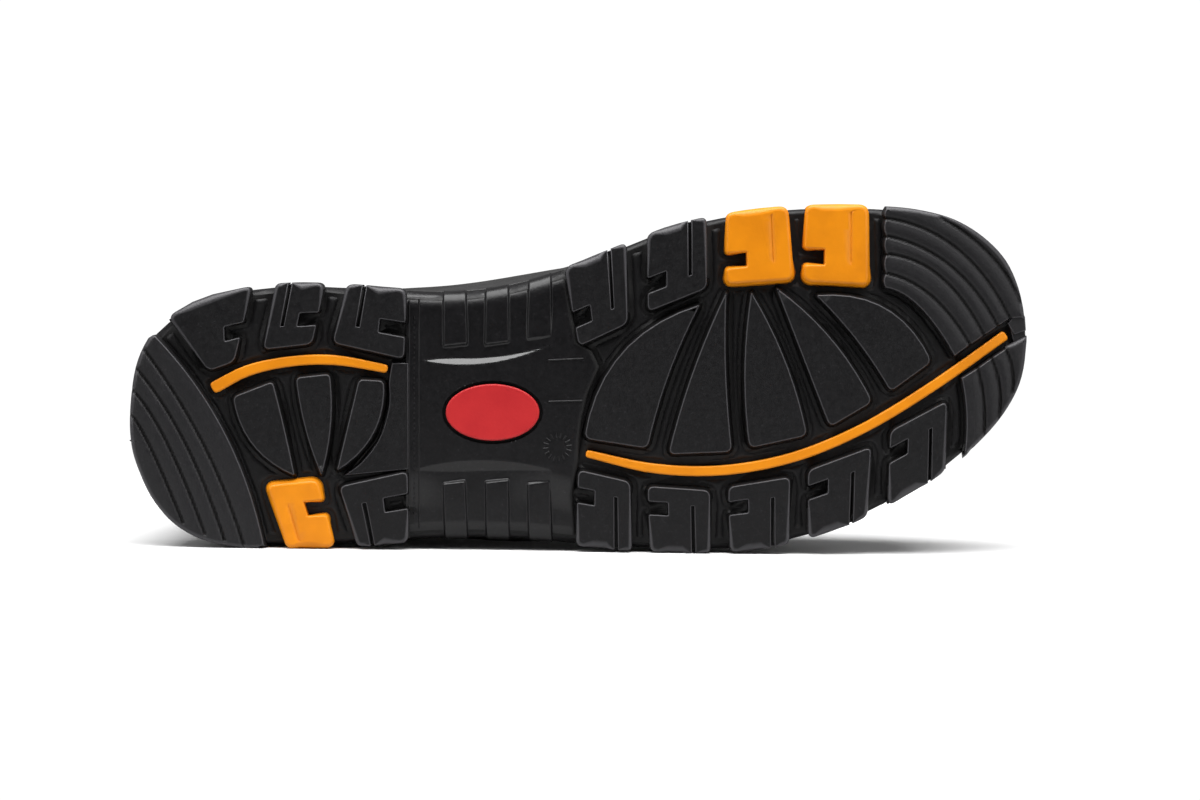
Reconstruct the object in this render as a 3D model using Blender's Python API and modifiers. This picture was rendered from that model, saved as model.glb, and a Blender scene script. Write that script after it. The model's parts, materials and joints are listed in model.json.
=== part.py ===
"""Left work boot lying on its outer side: moulded lug sole, leather upper, orange grips, red arch badge.

Boot frame used by every table: x runs from the back of the heel to the toe, y runs towards the outer
side of the foot, z runs up from the tread. Sizes are in millimetres and MM turns them into metres.
"""

import math
from collections import namedtuple

import bmesh
import bpy
import numpy as np
from mathutils import Matrix, Vector

MM = 0.001
GAP = 0.3

# Driving sizes of the boot
SOLE_LENGTH = 306.8
LUG_DEPTH = 4.0
LUG_SHOULDER = 12.0
INNER_LUG_PROUD = 1.1
OUTER_LUG_PROUD = 0.9
SEGMENT = 7.5
FLAT_ANGLE = 0.6

# Toe spring and the bevel at the back of the heel
TOE_SPRING = 13.0
SPRING_START = 226.0
SPRING_POWER = 1.8
HEEL_BEVEL = 3.0
BEVEL_START = 24.0

# Levels of the tread, measured up from the ground plane
WAIST_SIDE_LEVEL = 3.0
WAIST_LEVEL = 1.8
HEEL_FRONT_LEVEL = 1.5
RIB_GROOVE_LEVEL = 1.3
STRIP_LEVEL = 1.2
EMBED = 0.8
EDGE_TOP = 9.0

# Rim of the sole, upper and insole
RIM_WALL = 3.0
UPPER_WALL = 2.4
INSOLE_THICKNESS = 4.0
GORE_DEPTH = 0.8

# Sole outline: half widths of the tread, lean of the side wall inwards, rim and cup floor heights
Station = namedtuple("Station", "x inner outer inner_lean outer_lean rim floor")
STATIONS = [
    Station(0.4, -1.0, 1.0, 3.0, 3.0, 34.0, 24.0),
    Station(2.2, 13.2, 12.4, 3.0, 3.0, 34.0, 24.0),
    Station(6.0, 25.5, 22.4, 3.0, 3.0, 34.0, 24.0),
    Station(12.0, 34.1, 30.6, 3.0, 2.8, 34.0, 24.0),
    Station(20.0, 39.9, 36.3, 3.0, 2.6, 34.0, 24.0),
    Station(32.0, 43.8, 40.5, 3.0, 2.4, 33.5, 24.0),
    Station(46.0, 45.4, 42.4, 3.0, 2.4, 33.0, 23.8),
    Station(62.0, 44.8, 44.0, 2.6, 2.4, 32.5, 23.4),
    Station(80.0, 42.2, 45.1, 1.6, 1.8, 31.5, 22.6),
    Station(98.0, 38.6, 45.7, 0.0, -0.4, 30.5, 21.0),
    Station(116.0, 36.2, 47.6, -1.4, -2.0, 29.5, 19.0),
    Station(134.0, 36.4, 50.4, -1.6, -1.6, 28.0, 17.2),
    Station(152.0, 39.4, 54.2, -0.6, 0.8, 26.6, 15.6),
    Station(170.0, 44.3, 57.7, 1.2, 2.4, 25.2, 14.4),
    Station(190.0, 49.5, 60.4, 2.6, 3.0, 24.2, 13.6),
    Station(208.0, 51.6, 61.3, 3.0, 3.0, 23.6, 13.0),
    Station(226.0, 52.0, 59.4, 3.0, 3.0, 23.2, 13.0),
    Station(244.0, 50.8, 55.0, 3.0, 3.0, 23.6, 13.6),
    Station(260.0, 48.8, 48.9, 3.0, 3.0, 25.0, 15.2),
    Station(274.4, 45.9, 42.1, 3.0, 3.0, 27.2, 17.6),
    Station(286.6, 41.2, 33.9, 3.0, 3.0, 29.8, 20.4),
    Station(295.9, 34.2, 25.6, 3.0, 3.0, 32.0, 22.8),
    Station(302.6, 25.6, 16.2, 3.0, 3.0, 33.6, 24.6),
    Station(305.9, 15.8, 5.8, 3.0, 3.0, 34.6, 25.6),
    Station(306.8, 6.0, -6.0, 3.0, 3.0, 34.8, 26.0),
]

# Side wall from tread to rim: share of the lean, step outwards, share of the way up to the rim
WallRow = namedtuple("WallRow", "lean step height")
SIDE_WALL = [
    WallRow(0.0, -2.2, 0.0),
    WallRow(0.0, -0.3, 0.09),
    WallRow(0.2, 0.0, 0.36),
    WallRow(0.24, -1.3, 0.4),
    WallRow(0.3, -1.3, 0.48),
    WallRow(0.34, 0.0, 0.52),
    WallRow(0.85, 0.2, 0.86),
    WallRow(1.0, 0.5, 0.94),
    WallRow(1.0, -0.6, 1.0),
]

# Edge lugs: stations on the edge, then the two inner corners; heel lugs carry their notch in front
Lug = namedtuple("Lug", "name side rear front rear_x rear_y front_x front_y motif")
LUGS = [
    Lug("heel_inner_back", -1, 17.2, 47.0, 29.0, 19.5, 38.0, 21.6, "heel_plain"),
    Lug("heel_inner_mid", -1, 55.0, 71.7, 48.3, 24.6, 65.0, 24.6, "heel"),
    Lug("heel_inner_front", -1, 79.0, 99.0, 72.0, 24.2, 95.4, 16.0, "heel"),
    Lug("heel_outer_front", 1, 72.3, 89.8, 68.6, 24.6, 92.2, 22.2, "heel"),
    Lug("ball_inner_rear", -1, 153.0, 175.0, 155.0, 13.6, 172.2, 19.3, "forefoot"),
    Lug("ball_inner_mid", -1, 182.2, 203.0, 179.6, 22.6, 200.3, 28.2, "forefoot"),
    Lug("ball_outer_1", 1, 146.2, 165.0, 150.0, 28.2, 167.0, 34.2, "forefoot"),
    Lug("ball_outer_2", 1, 171.0, 191.5, 172.8, 36.4, 193.6, 40.2, "forefoot"),
    Lug("ball_outer_3", 1, 198.0, 218.4, 200.0, 39.8, 221.2, 38.8, "forefoot"),
    Lug("ball_outer_4", 1, 225.0, 246.0, 227.6, 37.2, 249.8, 31.8, "forefoot"),
    Lug("ball_outer_5", 1, 253.2, 274.4, 257.0, 27.2, 277.4, 19.4, "forefoot"),
]
GRIP_LUGS = [
    Lug("grip_lug_heel", 1, 48.3, 65.0, 44.0, 21.2, 61.6, 21.4, "heel"),
    Lug("grip_lug_ball", -1, 209.6, 231.0, 207.0, 28.6, 229.8, 27.6, "forefoot"),
    Lug("grip_lug_toe", -1, 236.8, 258.4, 233.2, 26.6, 255.2, 22.8, "forefoot"),
]

# Lug motif in shares of the block: notch in one side and a thin slit from the edge
Motif = namedtuple("Motif", "notch_in_front notch_from notch_to notch_reach slit_at slit_from")
MOTIFS = {
    "forefoot": Motif(False, 0.23, 0.43, 0.32, 0.72, 0.26),
    "heel": Motif(True, 0.31, 0.52, 0.39, 0.3, 0.33),
    "heel_plain": Motif(True, 0.32, 0.52, 0.34, None, None),
}
SLIT_WIDTH = 0.9
SLIT_DEPTH = 2.8
GRIP_SLIT_DEPTH = 0.6
LUG_FLARE = 1.1
PAD_FLARE = 1.2
LUG_CORNER = 2.4
NOTCH_CORNER = 0.7
NOTCH_ROOT = 0.5
NOTCH_FLARE = 0.3
MOUTH_FLARE = 0.7

# Fan pads: tip, the two corners of the base and how far each side bows outwards
Pad = namedtuple("Pad", "name tip_x tip_y rear_x rear_y front_x front_y rear_bow front_bow")
PADS = [
    Pad("heel_fan_1", 53.9, 19.2, 36.2, -9.8, 50.2, -13.4, 4.8, 0.3),
    Pad("heel_fan_2", 63.0, 20.2, 58.2, -13.8, 69.8, -13.8, 1.3, 1.8),
    Pad("heel_fan_3", 68.4, 19.2, 79.4, -10.8, 87.8, -9.4, 0.0, 5.2),
    Pad("ball_fan_1", 197.4, -22.9, 153.2, 17.8, 174.2, 23.6, 9.4, -1.8),
    Pad("ball_fan_2", 206.8, -26.2, 181.0, 26.4, 202.6, 28.0, 1.6, -1.1),
    Pad("ball_fan_3", 215.2, -25.2, 208.6, 27.4, 228.6, 25.4, 2.0, 2.3),
    Pad("ball_fan_4", 223.8, -25.6, 236.6, 23.4, 252.0, 16.6, 0.0, 3.2),
    Pad("ball_fan_5", 237.0, -21.6, 258.6, 13.8, 273.8, 5.4, -1.5, 8.0),
]
PAD_CORNER = 2.2
PAD_TIP = 0.8

# Grip strips: points of the centre line and the strip's width there
StripRow = namedtuple("StripRow", "x y width")
FOREFOOT_STRIP = [
    StripRow(153.2, 23.0, 2.4),
    StripRow(176.0, 30.8, 3.2),
    StripRow(200.0, 34.0, 3.3),
    StripRow(224.0, 32.1, 3.3),
    StripRow(248.0, 25.2, 3.3),
    StripRow(272.3, 14.3, 3.3),
    StripRow(300.5, -0.7, 3.3),
]
HEEL_STRIP = [
    StripRow(29.4, -13.3, 4.0),
    StripRow(42.0, -18.0, 3.7),
    StripRow(57.0, -19.5, 3.4),
    StripRow(72.0, -18.2, 3.3),
    StripRow(89.4, -13.2, 2.7),
]

# Rib zones: each line runs across the zone through a start, a middle and an end
Line = namedtuple("Line", "x1 y1 x2 y2 x3 y3")
HEEL_RIBS = [
    Line(12.3, -33.2, 31.8, 1.5, 40.8, 41.6),
    Line(8.3, -28.8, 24.3, 4.5, 34.0, 40.4),
    Line(5.0, -22.6, 18.2, 3.5, 27.8, 38.2),
    Line(2.4, -16.0, 12.1, 3.0, 21.4, 35.4),
    Line(1.0, -7.6, 6.6, 5.0, 14.4, 30.8),
]
TOE_INNER_RIBS = [
    Line(260.9, -21.6, 271.8, -13.6, 281.9, 4.2),
    Line(261.7, -26.2, 276.2, -16.7, 287.4, 1.2),
    Line(262.6, -32.7, 280.0, -22.9, 292.7, -1.4),
    Line(263.2, -38.8, 283.9, -26.2, 297.8, -4.0),
    Line(263.8, -44.8, 287.0, -31.6, 302.3, -6.2),
]
TOE_OUTER_RIBS = [
    Line(283.5, 12.2, 283.7, 25.1, 281.5, 38.4),
    Line(289.1, 9.6, 290.1, 20.1, 289.0, 31.8),
    Line(294.4, 6.8, 296.1, 16.7, 294.9, 26.8),
    Line(299.6, 4.2, 301.3, 11.7, 300.4, 19.1),
]
TOE_EDGE_GROOVE = [StripRow(282.5, -42.8, 1.2), StripRow(298.0, -28.5, 1.3), StripRow(306.8, -11.2, 1.2)]
TOE_TIP = [(301.6, -4.4), (306.3, -8.9), (307.8, -6.0), (307.6, -1.4), (303.4, -0.4)]
TOE_TIP_LEVEL = 0.8
TOE_TIP_BASE = [(302.0, -5.4), (306.0, -10.2), (307.6, -6.0), (307.2, 3.4), (303.0, 2.6)]
TOE_TIP_BASE_LEVEL = 1.9
RIB_GROOVE = 1.5
RIB_PROUD = 0.7

# Waist: side plate between the edges, raised platform with sloped sides, bars, plate behind it
WAIST_REAR_X = {-1: 97.0, 1: 90.4}
WAIST_FRONT_X = {-1: 152.6, 1: 146.4}
WAIST_FRONT = [
    (154.6, -14.6), (159.0, -11.4), (161.0, -5.6), (156.0, 3.0),
    (153.0, 11.5), (151.2, 18.8), (150.2, 25.2), (147.0, 36.0),
]
WAIST_EDGE_INSET = 5.2
WAIST_EDGE_FLARE = 3.0
Slope = namedtuple("Slope", "x y flare")
PLATFORM = [
    Slope(96.6, -16.6, 0.2), Slope(103.0, -15.6, 0.8), Slope(110.0, -13.2, 3.0), Slope(118.0, -11.4, 4.6),
    Slope(128.0, -11.0, 4.8), Slope(138.0, -11.8, 3.2), Slope(146.0, -13.2, 0.6), Slope(154.0, -13.4, 0.2),
    Slope(158.2, -10.8, 0.2), Slope(160.2, -5.6, 0.2), Slope(155.3, 3.0, 0.2), Slope(152.4, 11.5, 0.2),
    Slope(150.6, 18.8, 0.2), Slope(149.6, 25.2, 0.2), Slope(148.0, 27.4, 0.2),
    Slope(141.0, 26.8, 0.6), Slope(130.0, 24.0, 3.4), Slope(119.0, 21.4, 4.8), Slope(108.0, 20.4, 4.6),
    Slope(99.0, 22.0, 1.2), Slope(94.4, 23.0, 0.2),
]
HEEL_FRONT_PLATE = [
    (97.2, -14.4), (91.2, -15.0), (89.6, -9.4), (88.6, -1.0), (84.0, 10.0),
    (77.0, 17.4), (71.0, 21.0), (94.6, 21.4),
]
Bar = namedtuple("Bar", "side rear front inner_rear inner_front inner_y")
WAIST_BARS = [
    Bar(-1, 111.5, 118.5, 109.5, 117.0, 19.0),
    Bar(-1, 126.0, 133.0, 123.6, 131.2, 18.0),
    Bar(-1, 141.0, 147.8, 138.0, 145.8, 18.0),
    Bar(1, 102.5, 109.5, 104.0, 110.8, 28.0),
    Bar(1, 116.5, 123.6, 118.4, 125.6, 29.2),
    Bar(1, 130.8, 138.0, 132.6, 139.6, 31.2),
]
BAR_LEVEL = 1.8
BAR_PROUD = 0.4
BAR_LEAN = 4.6

# Oval badge in a pocket of the waist
BADGE_X = 123.2
BADGE_Y = 5.5
BADGE_LONG = 15.9
BADGE_SHORT = 9.6
BADGE_TURN = math.radians(6.5)
BADGE_LEVEL = 1.5
BADGE_THICKNESS = 1.6
POCKET_RIM = 1.2

# Upper: one row for each ring from the rim to the collar, foot is the share of the sole's own plan
Ring = namedtuple("Ring", "foot rise swell back_x back_z front_x front_z inner outer crown nose blunt")
UPPER_RINGS = [
    Ring(1.0, -1.0, 0.0, 6.0, 33.0, 299.0, 34.0, 40.0, 40.0, 0.40, 4.0, 0.5),
    Ring(1.0, 4.0, 0.6, 6.0, 38.0, 299.0, 38.0, 40.0, 40.0, 0.40, 4.0, 0.5),
    Ring(0.8, 10.0, 1.2, 5.0, 45.0, 298.0, 46.0, 42.5, 42.0, 0.40, 5.0, 0.5),
    Ring(0.55, 18.0, 0.8, 5.4, 53.0, 293.0, 53.5, 43.0, 41.0, 0.34, 4.2, 0.5),
    Ring(0.34, 27.0, 0.0, 6.6, 61.0, 284.0, 59.5, 41.6, 39.5, 0.32, 3.8, 0.52),
    Ring(0.16, 36.0, 0.0, 8.4, 69.0, 268.0, 64.0, 38.6, 38.2, 0.30, 3.8, 0.56),
    Ring(0.0, 0.0, 0.0, 10.2, 77.0, 246.0, 67.5, 37.6, 37.4, 0.28, 3.2, 0.6),
    Ring(0.0, 0.0, 0.0, 11.6, 85.0, 222.0, 72.5, 37.0, 37.0, 0.29, 3.0, 0.6),
    Ring(0.0, 0.0, 0.0, 12.4, 94.0, 199.0, 80.5, 36.8, 36.8, 0.32, 2.8, 0.58),
    Ring(0.0, 0.0, 0.0, 12.4, 104.0, 179.0, 92.0, 37.2, 37.2, 0.36, 2.6, 0.56),
    Ring(0.0, 0.0, 0.0, 11.6, 116.0, 162.0, 107.0, 38.2, 38.2, 0.40, 2.4, 0.54),
    Ring(0.0, 0.0, 0.0, 10.2, 129.0, 149.0, 124.0, 39.4, 39.4, 0.43, 2.2, 0.52),
    Ring(0.0, 0.0, 0.0, 8.6, 142.0, 140.0, 142.0, 40.4, 40.4, 0.45, 2.1, 0.5),
    Ring(0.0, 0.0, 0.0, 7.4, 153.0, 135.0, 158.0, 41.0, 41.0, 0.46, 2.0, 0.5),
]
UPPER_EVERY = 2
HEEL_ROUND = 2.3

# Elastic side panel seen from the side: points of its outline in x and z
GORE = [(50.0, 175.0), (102.0, 175.0), (94.0, 104.0), (86.0, 90.0), (74.0, 88.0), (64.0, 98.0)]
GORE_CORNER = 9.0

# Colours in linear light: red, green, blue, roughness
COLOURS = {
    "outsole": (0.016, 0.015, 0.017, 0.62),
    "upper": (0.022, 0.021, 0.022, 0.5),
    "insole": (0.09, 0.09, 0.1, 0.95),
    "grip": (0.78, 0.24, 0.012, 0.42),
    "badge": (0.62, 0.028, 0.033, 0.3),
}


def clear_scene():
    for item in list(bpy.data.objects):
        bpy.data.objects.remove(item, do_unlink=True)


def make_collection(name):
    collection = bpy.data.collections.new(name)
    bpy.context.scene.collection.children.link(collection)
    return collection


def make_material(name):
    red, green, blue, roughness = COLOURS[name]
    material = bpy.data.materials.new(name)
    material.use_nodes = True
    shader = material.node_tree.nodes["Principled BSDF"]
    shader.inputs["Base Color"].default_value = (red, green, blue, 1.0)
    shader.inputs["Roughness"].default_value = roughness
    shader.inputs["Metallic"].default_value = 0.0
    material.diffuse_color = (red, green, blue, 1.0)
    return material


def lift(x):
    """Height of the tread above the ground plane: toe spring in front, a bevel at the back."""
    if x > SPRING_START:
        share = (x - SPRING_START) / (SOLE_LENGTH - SPRING_START)
        return TOE_SPRING * share ** SPRING_POWER
    if x < BEVEL_START:
        share = (BEVEL_START - x) / BEVEL_START
        return HEEL_BEVEL * share ** 2
    return 0.0


def spline(before, start, end, after, knots, share):
    """Catmull-Rom point between start and end, with knots spaced by the square root of distance."""
    t0, t1, t2, t3 = knots
    t = t1 + (t2 - t1) * share
    a1 = before * (t1 - t) / (t1 - t0) + start * (t - t0) / (t1 - t0)
    a2 = start * (t2 - t) / (t2 - t1) + end * (t - t1) / (t2 - t1)
    a3 = end * (t3 - t) / (t3 - t2) + after * (t - t2) / (t3 - t2)
    b1 = a1 * (t2 - t) / (t2 - t0) + a2 * (t - t0) / (t2 - t0)
    b2 = a2 * (t3 - t) / (t3 - t1) + a3 * (t - t1) / (t3 - t1)
    return b1 * (t2 - t) / (t2 - t1) + b2 * (t - t1) / (t2 - t1)


def smooth_rows(rows, before, after, measure, step):
    """Rows of numbers filled in along a smooth curve; measure picks the columns that set the spacing."""
    points = [before] + rows + [after]
    filled = []
    for i in range(1, len(points) - 2):
        four = points[i - 1:i + 3]
        gaps = [math.sqrt(max(np.linalg.norm((b - a)[measure]), 1e-6)) for a, b in zip(four, four[1:])]
        knots = [0.0, gaps[0], gaps[0] + gaps[1], gaps[0] + gaps[1] + gaps[2]]
        count = max(1, round(np.linalg.norm((four[2] - four[1])[measure]) / step))
        filled += [spline(*four, knots, k / count) for k in range(count)]
    filled.append(rows[-1])
    return filled


def sole_stations():
    """The station table filled in; the ghost rows mirror the other side so that both ends stay round."""
    rows = [np.array(row, dtype=float) for row in STATIONS]
    ghosts = []
    for row in (rows[1], rows[-2]):
        ghost = row.copy()
        ghost[1], ghost[2] = -row[2], -row[1]
        ghosts.append(ghost)
    filled = smooth_rows(rows, ghosts[0], ghosts[1], [0, 1], SEGMENT)
    return [Station(*row) for row in filled]


SOLE = sole_stations()


def around(inner, outer):
    """One closed loop from two equal lists that run from heel to toe and share their end points."""
    return inner + outer[-2:0:-1]


def outline(offsets):
    """Sole outline in plan with each point moved along its own normal, outwards where positive."""
    inner = [Vector((row.x, -row.inner)) for row in SOLE]
    outer = [Vector((row.x, row.outer)) for row in SOLE]
    loop = around(inner, outer)
    moved = []
    for i, point in enumerate(loop):
        along = (loop[(i + 1) % len(loop)] - loop[i - 1]).normalized()
        moved.append(point + Vector((along.y, -along.x)) * offsets[i])
    return moved


def leans():
    return around([row.inner_lean for row in SOLE], [row.outer_lean for row in SOLE])


def station_values(name):
    values = [getattr(row, name) for row in SOLE]
    return around(values, values)


def edge(x, side):
    """Distance from the axis to the tread's edge at one station; side is 1 outside and -1 inside."""
    widths = [row.outer if side > 0 else row.inner for row in SOLE]
    return float(np.interp(x, [row.x for row in SOLE], widths))


def link(name, mesh, collection, material=None):
    item = bpy.data.objects.new(name, mesh)
    collection.objects.link(item)
    if material:
        mesh.materials.clear()
        mesh.materials.append(material)
    return item


def loft(name, rings, cap_first=True, cap_last=True):
    """Skin over rings of equal length; a cap joins the inner and outer side rung by rung."""
    builder = bmesh.new()
    layers = [[builder.verts.new(Vector(point) * MM) for point in ring] for ring in rings]
    count = len(rings[0])
    for low, high in zip(layers, layers[1:]):
        for i in range(count):
            j = (i + 1) % count
            builder.faces.new((low[i], low[j], high[j], high[i]))
    half = count // 2
    for wanted, layer, turn in ((cap_first, layers[0], -1), (cap_last, layers[-1], 1)):
        if not wanted:
            continue
        for i in range(half):
            rung = [layer[i], layer[i + 1], layer[-i - 1], layer[-i]]
            builder.faces.new(list(dict.fromkeys(rung))[::turn])
    mesh = bpy.data.meshes.new(name)
    builder.to_mesh(mesh)
    builder.free()
    return mesh


def evaluated_mesh(item):
    graph = bpy.context.evaluated_depsgraph_get()
    mesh = bpy.data.meshes.new_from_object(item.evaluated_get(graph))
    builder = bmesh.new()
    builder.from_mesh(mesh)
    bmesh.ops.remove_doubles(builder, verts=builder.verts, dist=0.000005)
    bmesh.ops.recalc_face_normals(builder, faces=builder.faces)
    if builder.calc_volume(signed=True) < 0:
        bmesh.ops.reverse_faces(builder, faces=builder.faces)
    builder.to_mesh(mesh)
    builder.free()
    return mesh


def block(name, points, low, high, collection, sprung=True, flares=None):
    """Flat outline extruded from one height to another, its upper end flared, then lifted with the tread."""
    curve = bpy.data.curves.new(name, "CURVE")
    curve.dimensions = "2D"
    curve.fill_mode = "BOTH"
    curve.extrude = (high - low) / 2 * MM
    path = curve.splines.new("POLY")
    path.points.add(len(points) - 1)
    for slot, point in zip(path.points, points):
        slot.co = (point[0] * MM, point[1] * MM, 0.0, 1.0)
    path.use_cyclic_u = True
    pattern = bpy.data.objects.new(name + "_pattern", curve)
    collection.objects.link(pattern)
    bpy.context.view_layer.update()
    mesh = evaluated_mesh(pattern)
    bpy.data.objects.remove(pattern, do_unlink=True)
    middle = (high + low) / 2
    wide = grown(points, flares) if flares else points
    for vertex in mesh.vertices:
        here = Vector(vertex.co.xy) / MM
        rise = lift(here.x) if sprung else 0.0
        if flares and vertex.co.z > 0:
            nearest = min(range(len(points)), key=lambda i: (Vector(points[i][:2]) - here).length_squared)
            here = wide[nearest]
        vertex.co = (here.x * MM, here.y * MM, vertex.co.z + (middle + rise) * MM)
    return link(name, mesh, collection)


def combine(item, others, operation):
    """Apply Booleans of an object with each object of a list, one after the other."""
    for other in others:
        modifier = item.modifiers.new("combine", "BOOLEAN")
        modifier.operation = operation
        modifier.solver = "MANIFOLD"
        modifier.object = other
        bpy.context.view_layer.update()
        mesh = evaluated_mesh(item)
        item.modifiers.clear()
        item.data = mesh


def drop_flat_points(item):
    """Merge faces that lie in one plane and points that lie on one straight edge."""
    builder = bmesh.new()
    builder.from_mesh(item.data)
    limit = math.radians(FLAT_ANGLE)
    bmesh.ops.dissolve_limit(builder, angle_limit=limit, verts=builder.verts, edges=builder.edges)
    builder.to_mesh(item.data)
    builder.free()


def arc(start, end, bow, count):
    """Points from start to end on an arc that bows to the right of its direction."""
    start, end = Vector(start), Vector(end)
    along = (end - start).normalized()
    across = Vector((along.y, -along.x))
    shares = [i / count for i in range(count + 1)]
    return [start.lerp(end, s) + across * bow * 4 * s * (1 - s) for s in shares]


def through(line, count):
    """Points of a smooth line through its start, middle and end."""
    start, middle, end = Vector(line[0:2]), Vector(line[2:4]), Vector(line[4:6])
    pull = middle * 2 - (start + end) / 2
    shares = [i / count for i in range(count + 1)]
    return [start * (1 - s) ** 2 + pull * 2 * s * (1 - s) + end * s * s for s in shares]


def shifted(points, distance):
    """A line moved sideways, to the left of its direction where the distance is positive."""
    moved = []
    for i, point in enumerate(points):
        along = (points[min(i + 1, len(points) - 1)] - points[max(i - 1, 0)]).normalized()
        moved.append(point + Vector((-along.y, along.x)) * distance)
    return moved


def rounded_corner(points, i, radius, count):
    """Short curve that takes the place of one corner of a closed outline."""
    before, corner = Vector(points[i - 1]), Vector(points[i])
    after = Vector(points[(i + 1) % len(points)])
    radius = min(radius, (before - corner).length * 0.45, (after - corner).length * 0.45)
    if radius < 0.05:
        return [corner]
    start = corner + (before - corner).normalized() * radius
    end = corner + (after - corner).normalized() * radius
    shares = [k / count for k in range(count + 1)]
    return [start * (1 - t) ** 2 + corner * 2 * t * (1 - t) + end * t * t for t in shares]


def rounded(points, radii, count=3):
    """Closed outline with each corner replaced by a short curve of its own radius."""
    corners = [rounded_corner(points, i, radius, count) for i, radius in enumerate(radii)]
    return [point for corner in corners for point in corner]


def proud(lug):
    """How far a lug stands out of the side wall."""
    return OUTER_LUG_PROUD if lug.side > 0 else INNER_LUG_PROUD


def lug_point(lug, along, across):
    """A point of the block: along runs from rear to front, across from the inner end to the edge."""
    inner = Vector((lug.rear_x, lug.rear_y)).lerp(Vector((lug.front_x, lug.front_y)), along)
    x = lug.rear + (lug.front - lug.rear) * along
    outer = Vector((x, edge(x, lug.side) + proud(lug)))
    point = inner.lerp(outer, across)
    return Vector((point.x, point.y * lug.side))


def lug_outline(lug):
    """Block with a notch in its rear or front side, and how far each point of it flares towards the floor."""
    motif = MOTIFS[lug.motif]
    low, high, reach = motif.notch_from, motif.notch_to, motif.notch_reach
    notch = [(0.0, low), (reach, low), (reach, high), (0.0, high)]
    rim = [(i / 3, 1.0) for i in range(4)]
    if motif.notch_in_front:
        shares = [(0.0, 0.0)] + rim + [(1.0 - a, c) for a, c in reversed(notch)] + [(1.0, 0.0)]
    else:
        shares = [(0.0, 0.0)] + notch + rim + [(1.0, 0.0)]
    points = [lug_point(lug, along, across) for along, across in shares]
    outline_points, flares = [], []
    for i, (along, across) in enumerate(shares):
        if across == 1.0:
            radius, flare = (0.0 if 0.0 < along < 1.0 else NOTCH_CORNER), 0.0
        elif across == 0.0:
            radius, flare = LUG_CORNER, LUG_FLARE
        elif 0.0 < along < 1.0:
            radius, flare = NOTCH_ROOT, NOTCH_FLARE
        else:
            radius, flare = NOTCH_CORNER, MOUTH_FLARE
        corner = rounded_corner(points, i, radius, 1 if radius == NOTCH_ROOT else 2)
        outline_points += corner
        flares += [flare] * len(corner)
    return outline_points, flares


def lug_blocks(lug, collection):
    """Tread block with flared walls and the shoulder that carries it up the side of the sole."""
    points, flares = lug_outline(lug)
    tread = block(lug.name, points, 0.0, LUG_DEPTH + EMBED, collection, flares=flares)
    shares = [(0.025, 0.8)] + [(0.025 + 0.95 * i / 3, 0.99) for i in range(4)] + [(0.975, 0.8)]
    shoulder = [lug_point(lug, a, c) for a, c in shares]
    side = block(lug.name + "_shoulder", shoulder, LUG_DEPTH - 0.6, LUG_SHOULDER, collection)
    return [tread, side]


def slit_cutter(lug, depth, collection):
    """Thin slot from the edge of a lug towards its inner end."""
    motif = MOTIFS[lug.motif]
    inner = lug_point(lug, motif.slit_at, motif.slit_from)
    outer = lug_point(lug, motif.slit_at, 1.1)
    along = (outer - inner).normalized()
    half = Vector((-along.y, along.x)) * SLIT_WIDTH / 2
    points = [inner - half, outer - half, outer + half, inner + half]
    return block(lug.name + "_slit", points, -1.0, depth, collection)


def pad_outline(pad):
    tip, rear, front = (pad.tip_x, pad.tip_y), (pad.rear_x, pad.rear_y), (pad.front_x, pad.front_y)
    turn = -1 if pad.rear_y > pad.tip_y else 1
    down = arc(tip, rear, pad.rear_bow * turn, 3 + round(abs(pad.rear_bow) / 2))
    up = arc(front, tip, pad.front_bow * turn, 3 + round(abs(pad.front_bow) / 2))
    points = down + up[:-1]
    radii = [0.0] * len(points)
    radii[0] = PAD_TIP
    radii[len(down) - 1] = radii[len(down)] = PAD_CORNER
    return rounded(points, radii, 2)


def strip_outline(rows, grow=0.0, blunt=True):
    """Ribbon along a smooth centre line; its ends are square or rounded."""
    rows = [np.array(row, dtype=float) for row in rows]
    line = smooth_rows(rows, 2 * rows[0] - rows[1], 2 * rows[-1] - rows[-2], [0, 1], 7.0)
    centre = [Vector(row[:2]) for row in line]
    left, right = [], []
    for i, row in enumerate(line):
        along = (centre[min(i + 1, len(line) - 1)] - centre[max(i - 1, 0)]).normalized()
        side = Vector((-along.y, along.x)) * (row[2] / 2 + grow)
        left.append(centre[i] + side)
        right.append(centre[i] - side)
    points = left + right[::-1]
    radii = [0.0] * len(points)
    corner = 0.4 if blunt else 1.4
    for i in (0, len(left) - 1, len(left), len(points) - 1):
        radii[i] = corner
    return rounded(points, radii, 2)


def oval(grow):
    points = []
    for i in range(32):
        angle = math.tau * i / 32
        x = (BADGE_LONG + grow) * math.cos(angle)
        y = (BADGE_SHORT + grow) * math.sin(angle)
        turned = Vector((x, y))
        turned.rotate(Matrix.Rotation(BADGE_TURN, 2))
        points.append(turned + Vector((BADGE_X, BADGE_Y)))
    return points


def rim_stretch(start, end, toe):
    """Points of the tread's edge around the toe or the heel, from one inner to one outer station."""
    inner = [Vector((row.x, -row.inner)) for row in SOLE]
    outer = [Vector((row.x, row.outer)) for row in SOLE]
    if toe:
        return [p for p in inner if p.x > start] + [p for p in outer[::-1][1:] if p.x > end]
    return [p for p in inner[::-1] if p.x < start] + [p for p in outer[1:] if p.x < end]


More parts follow.
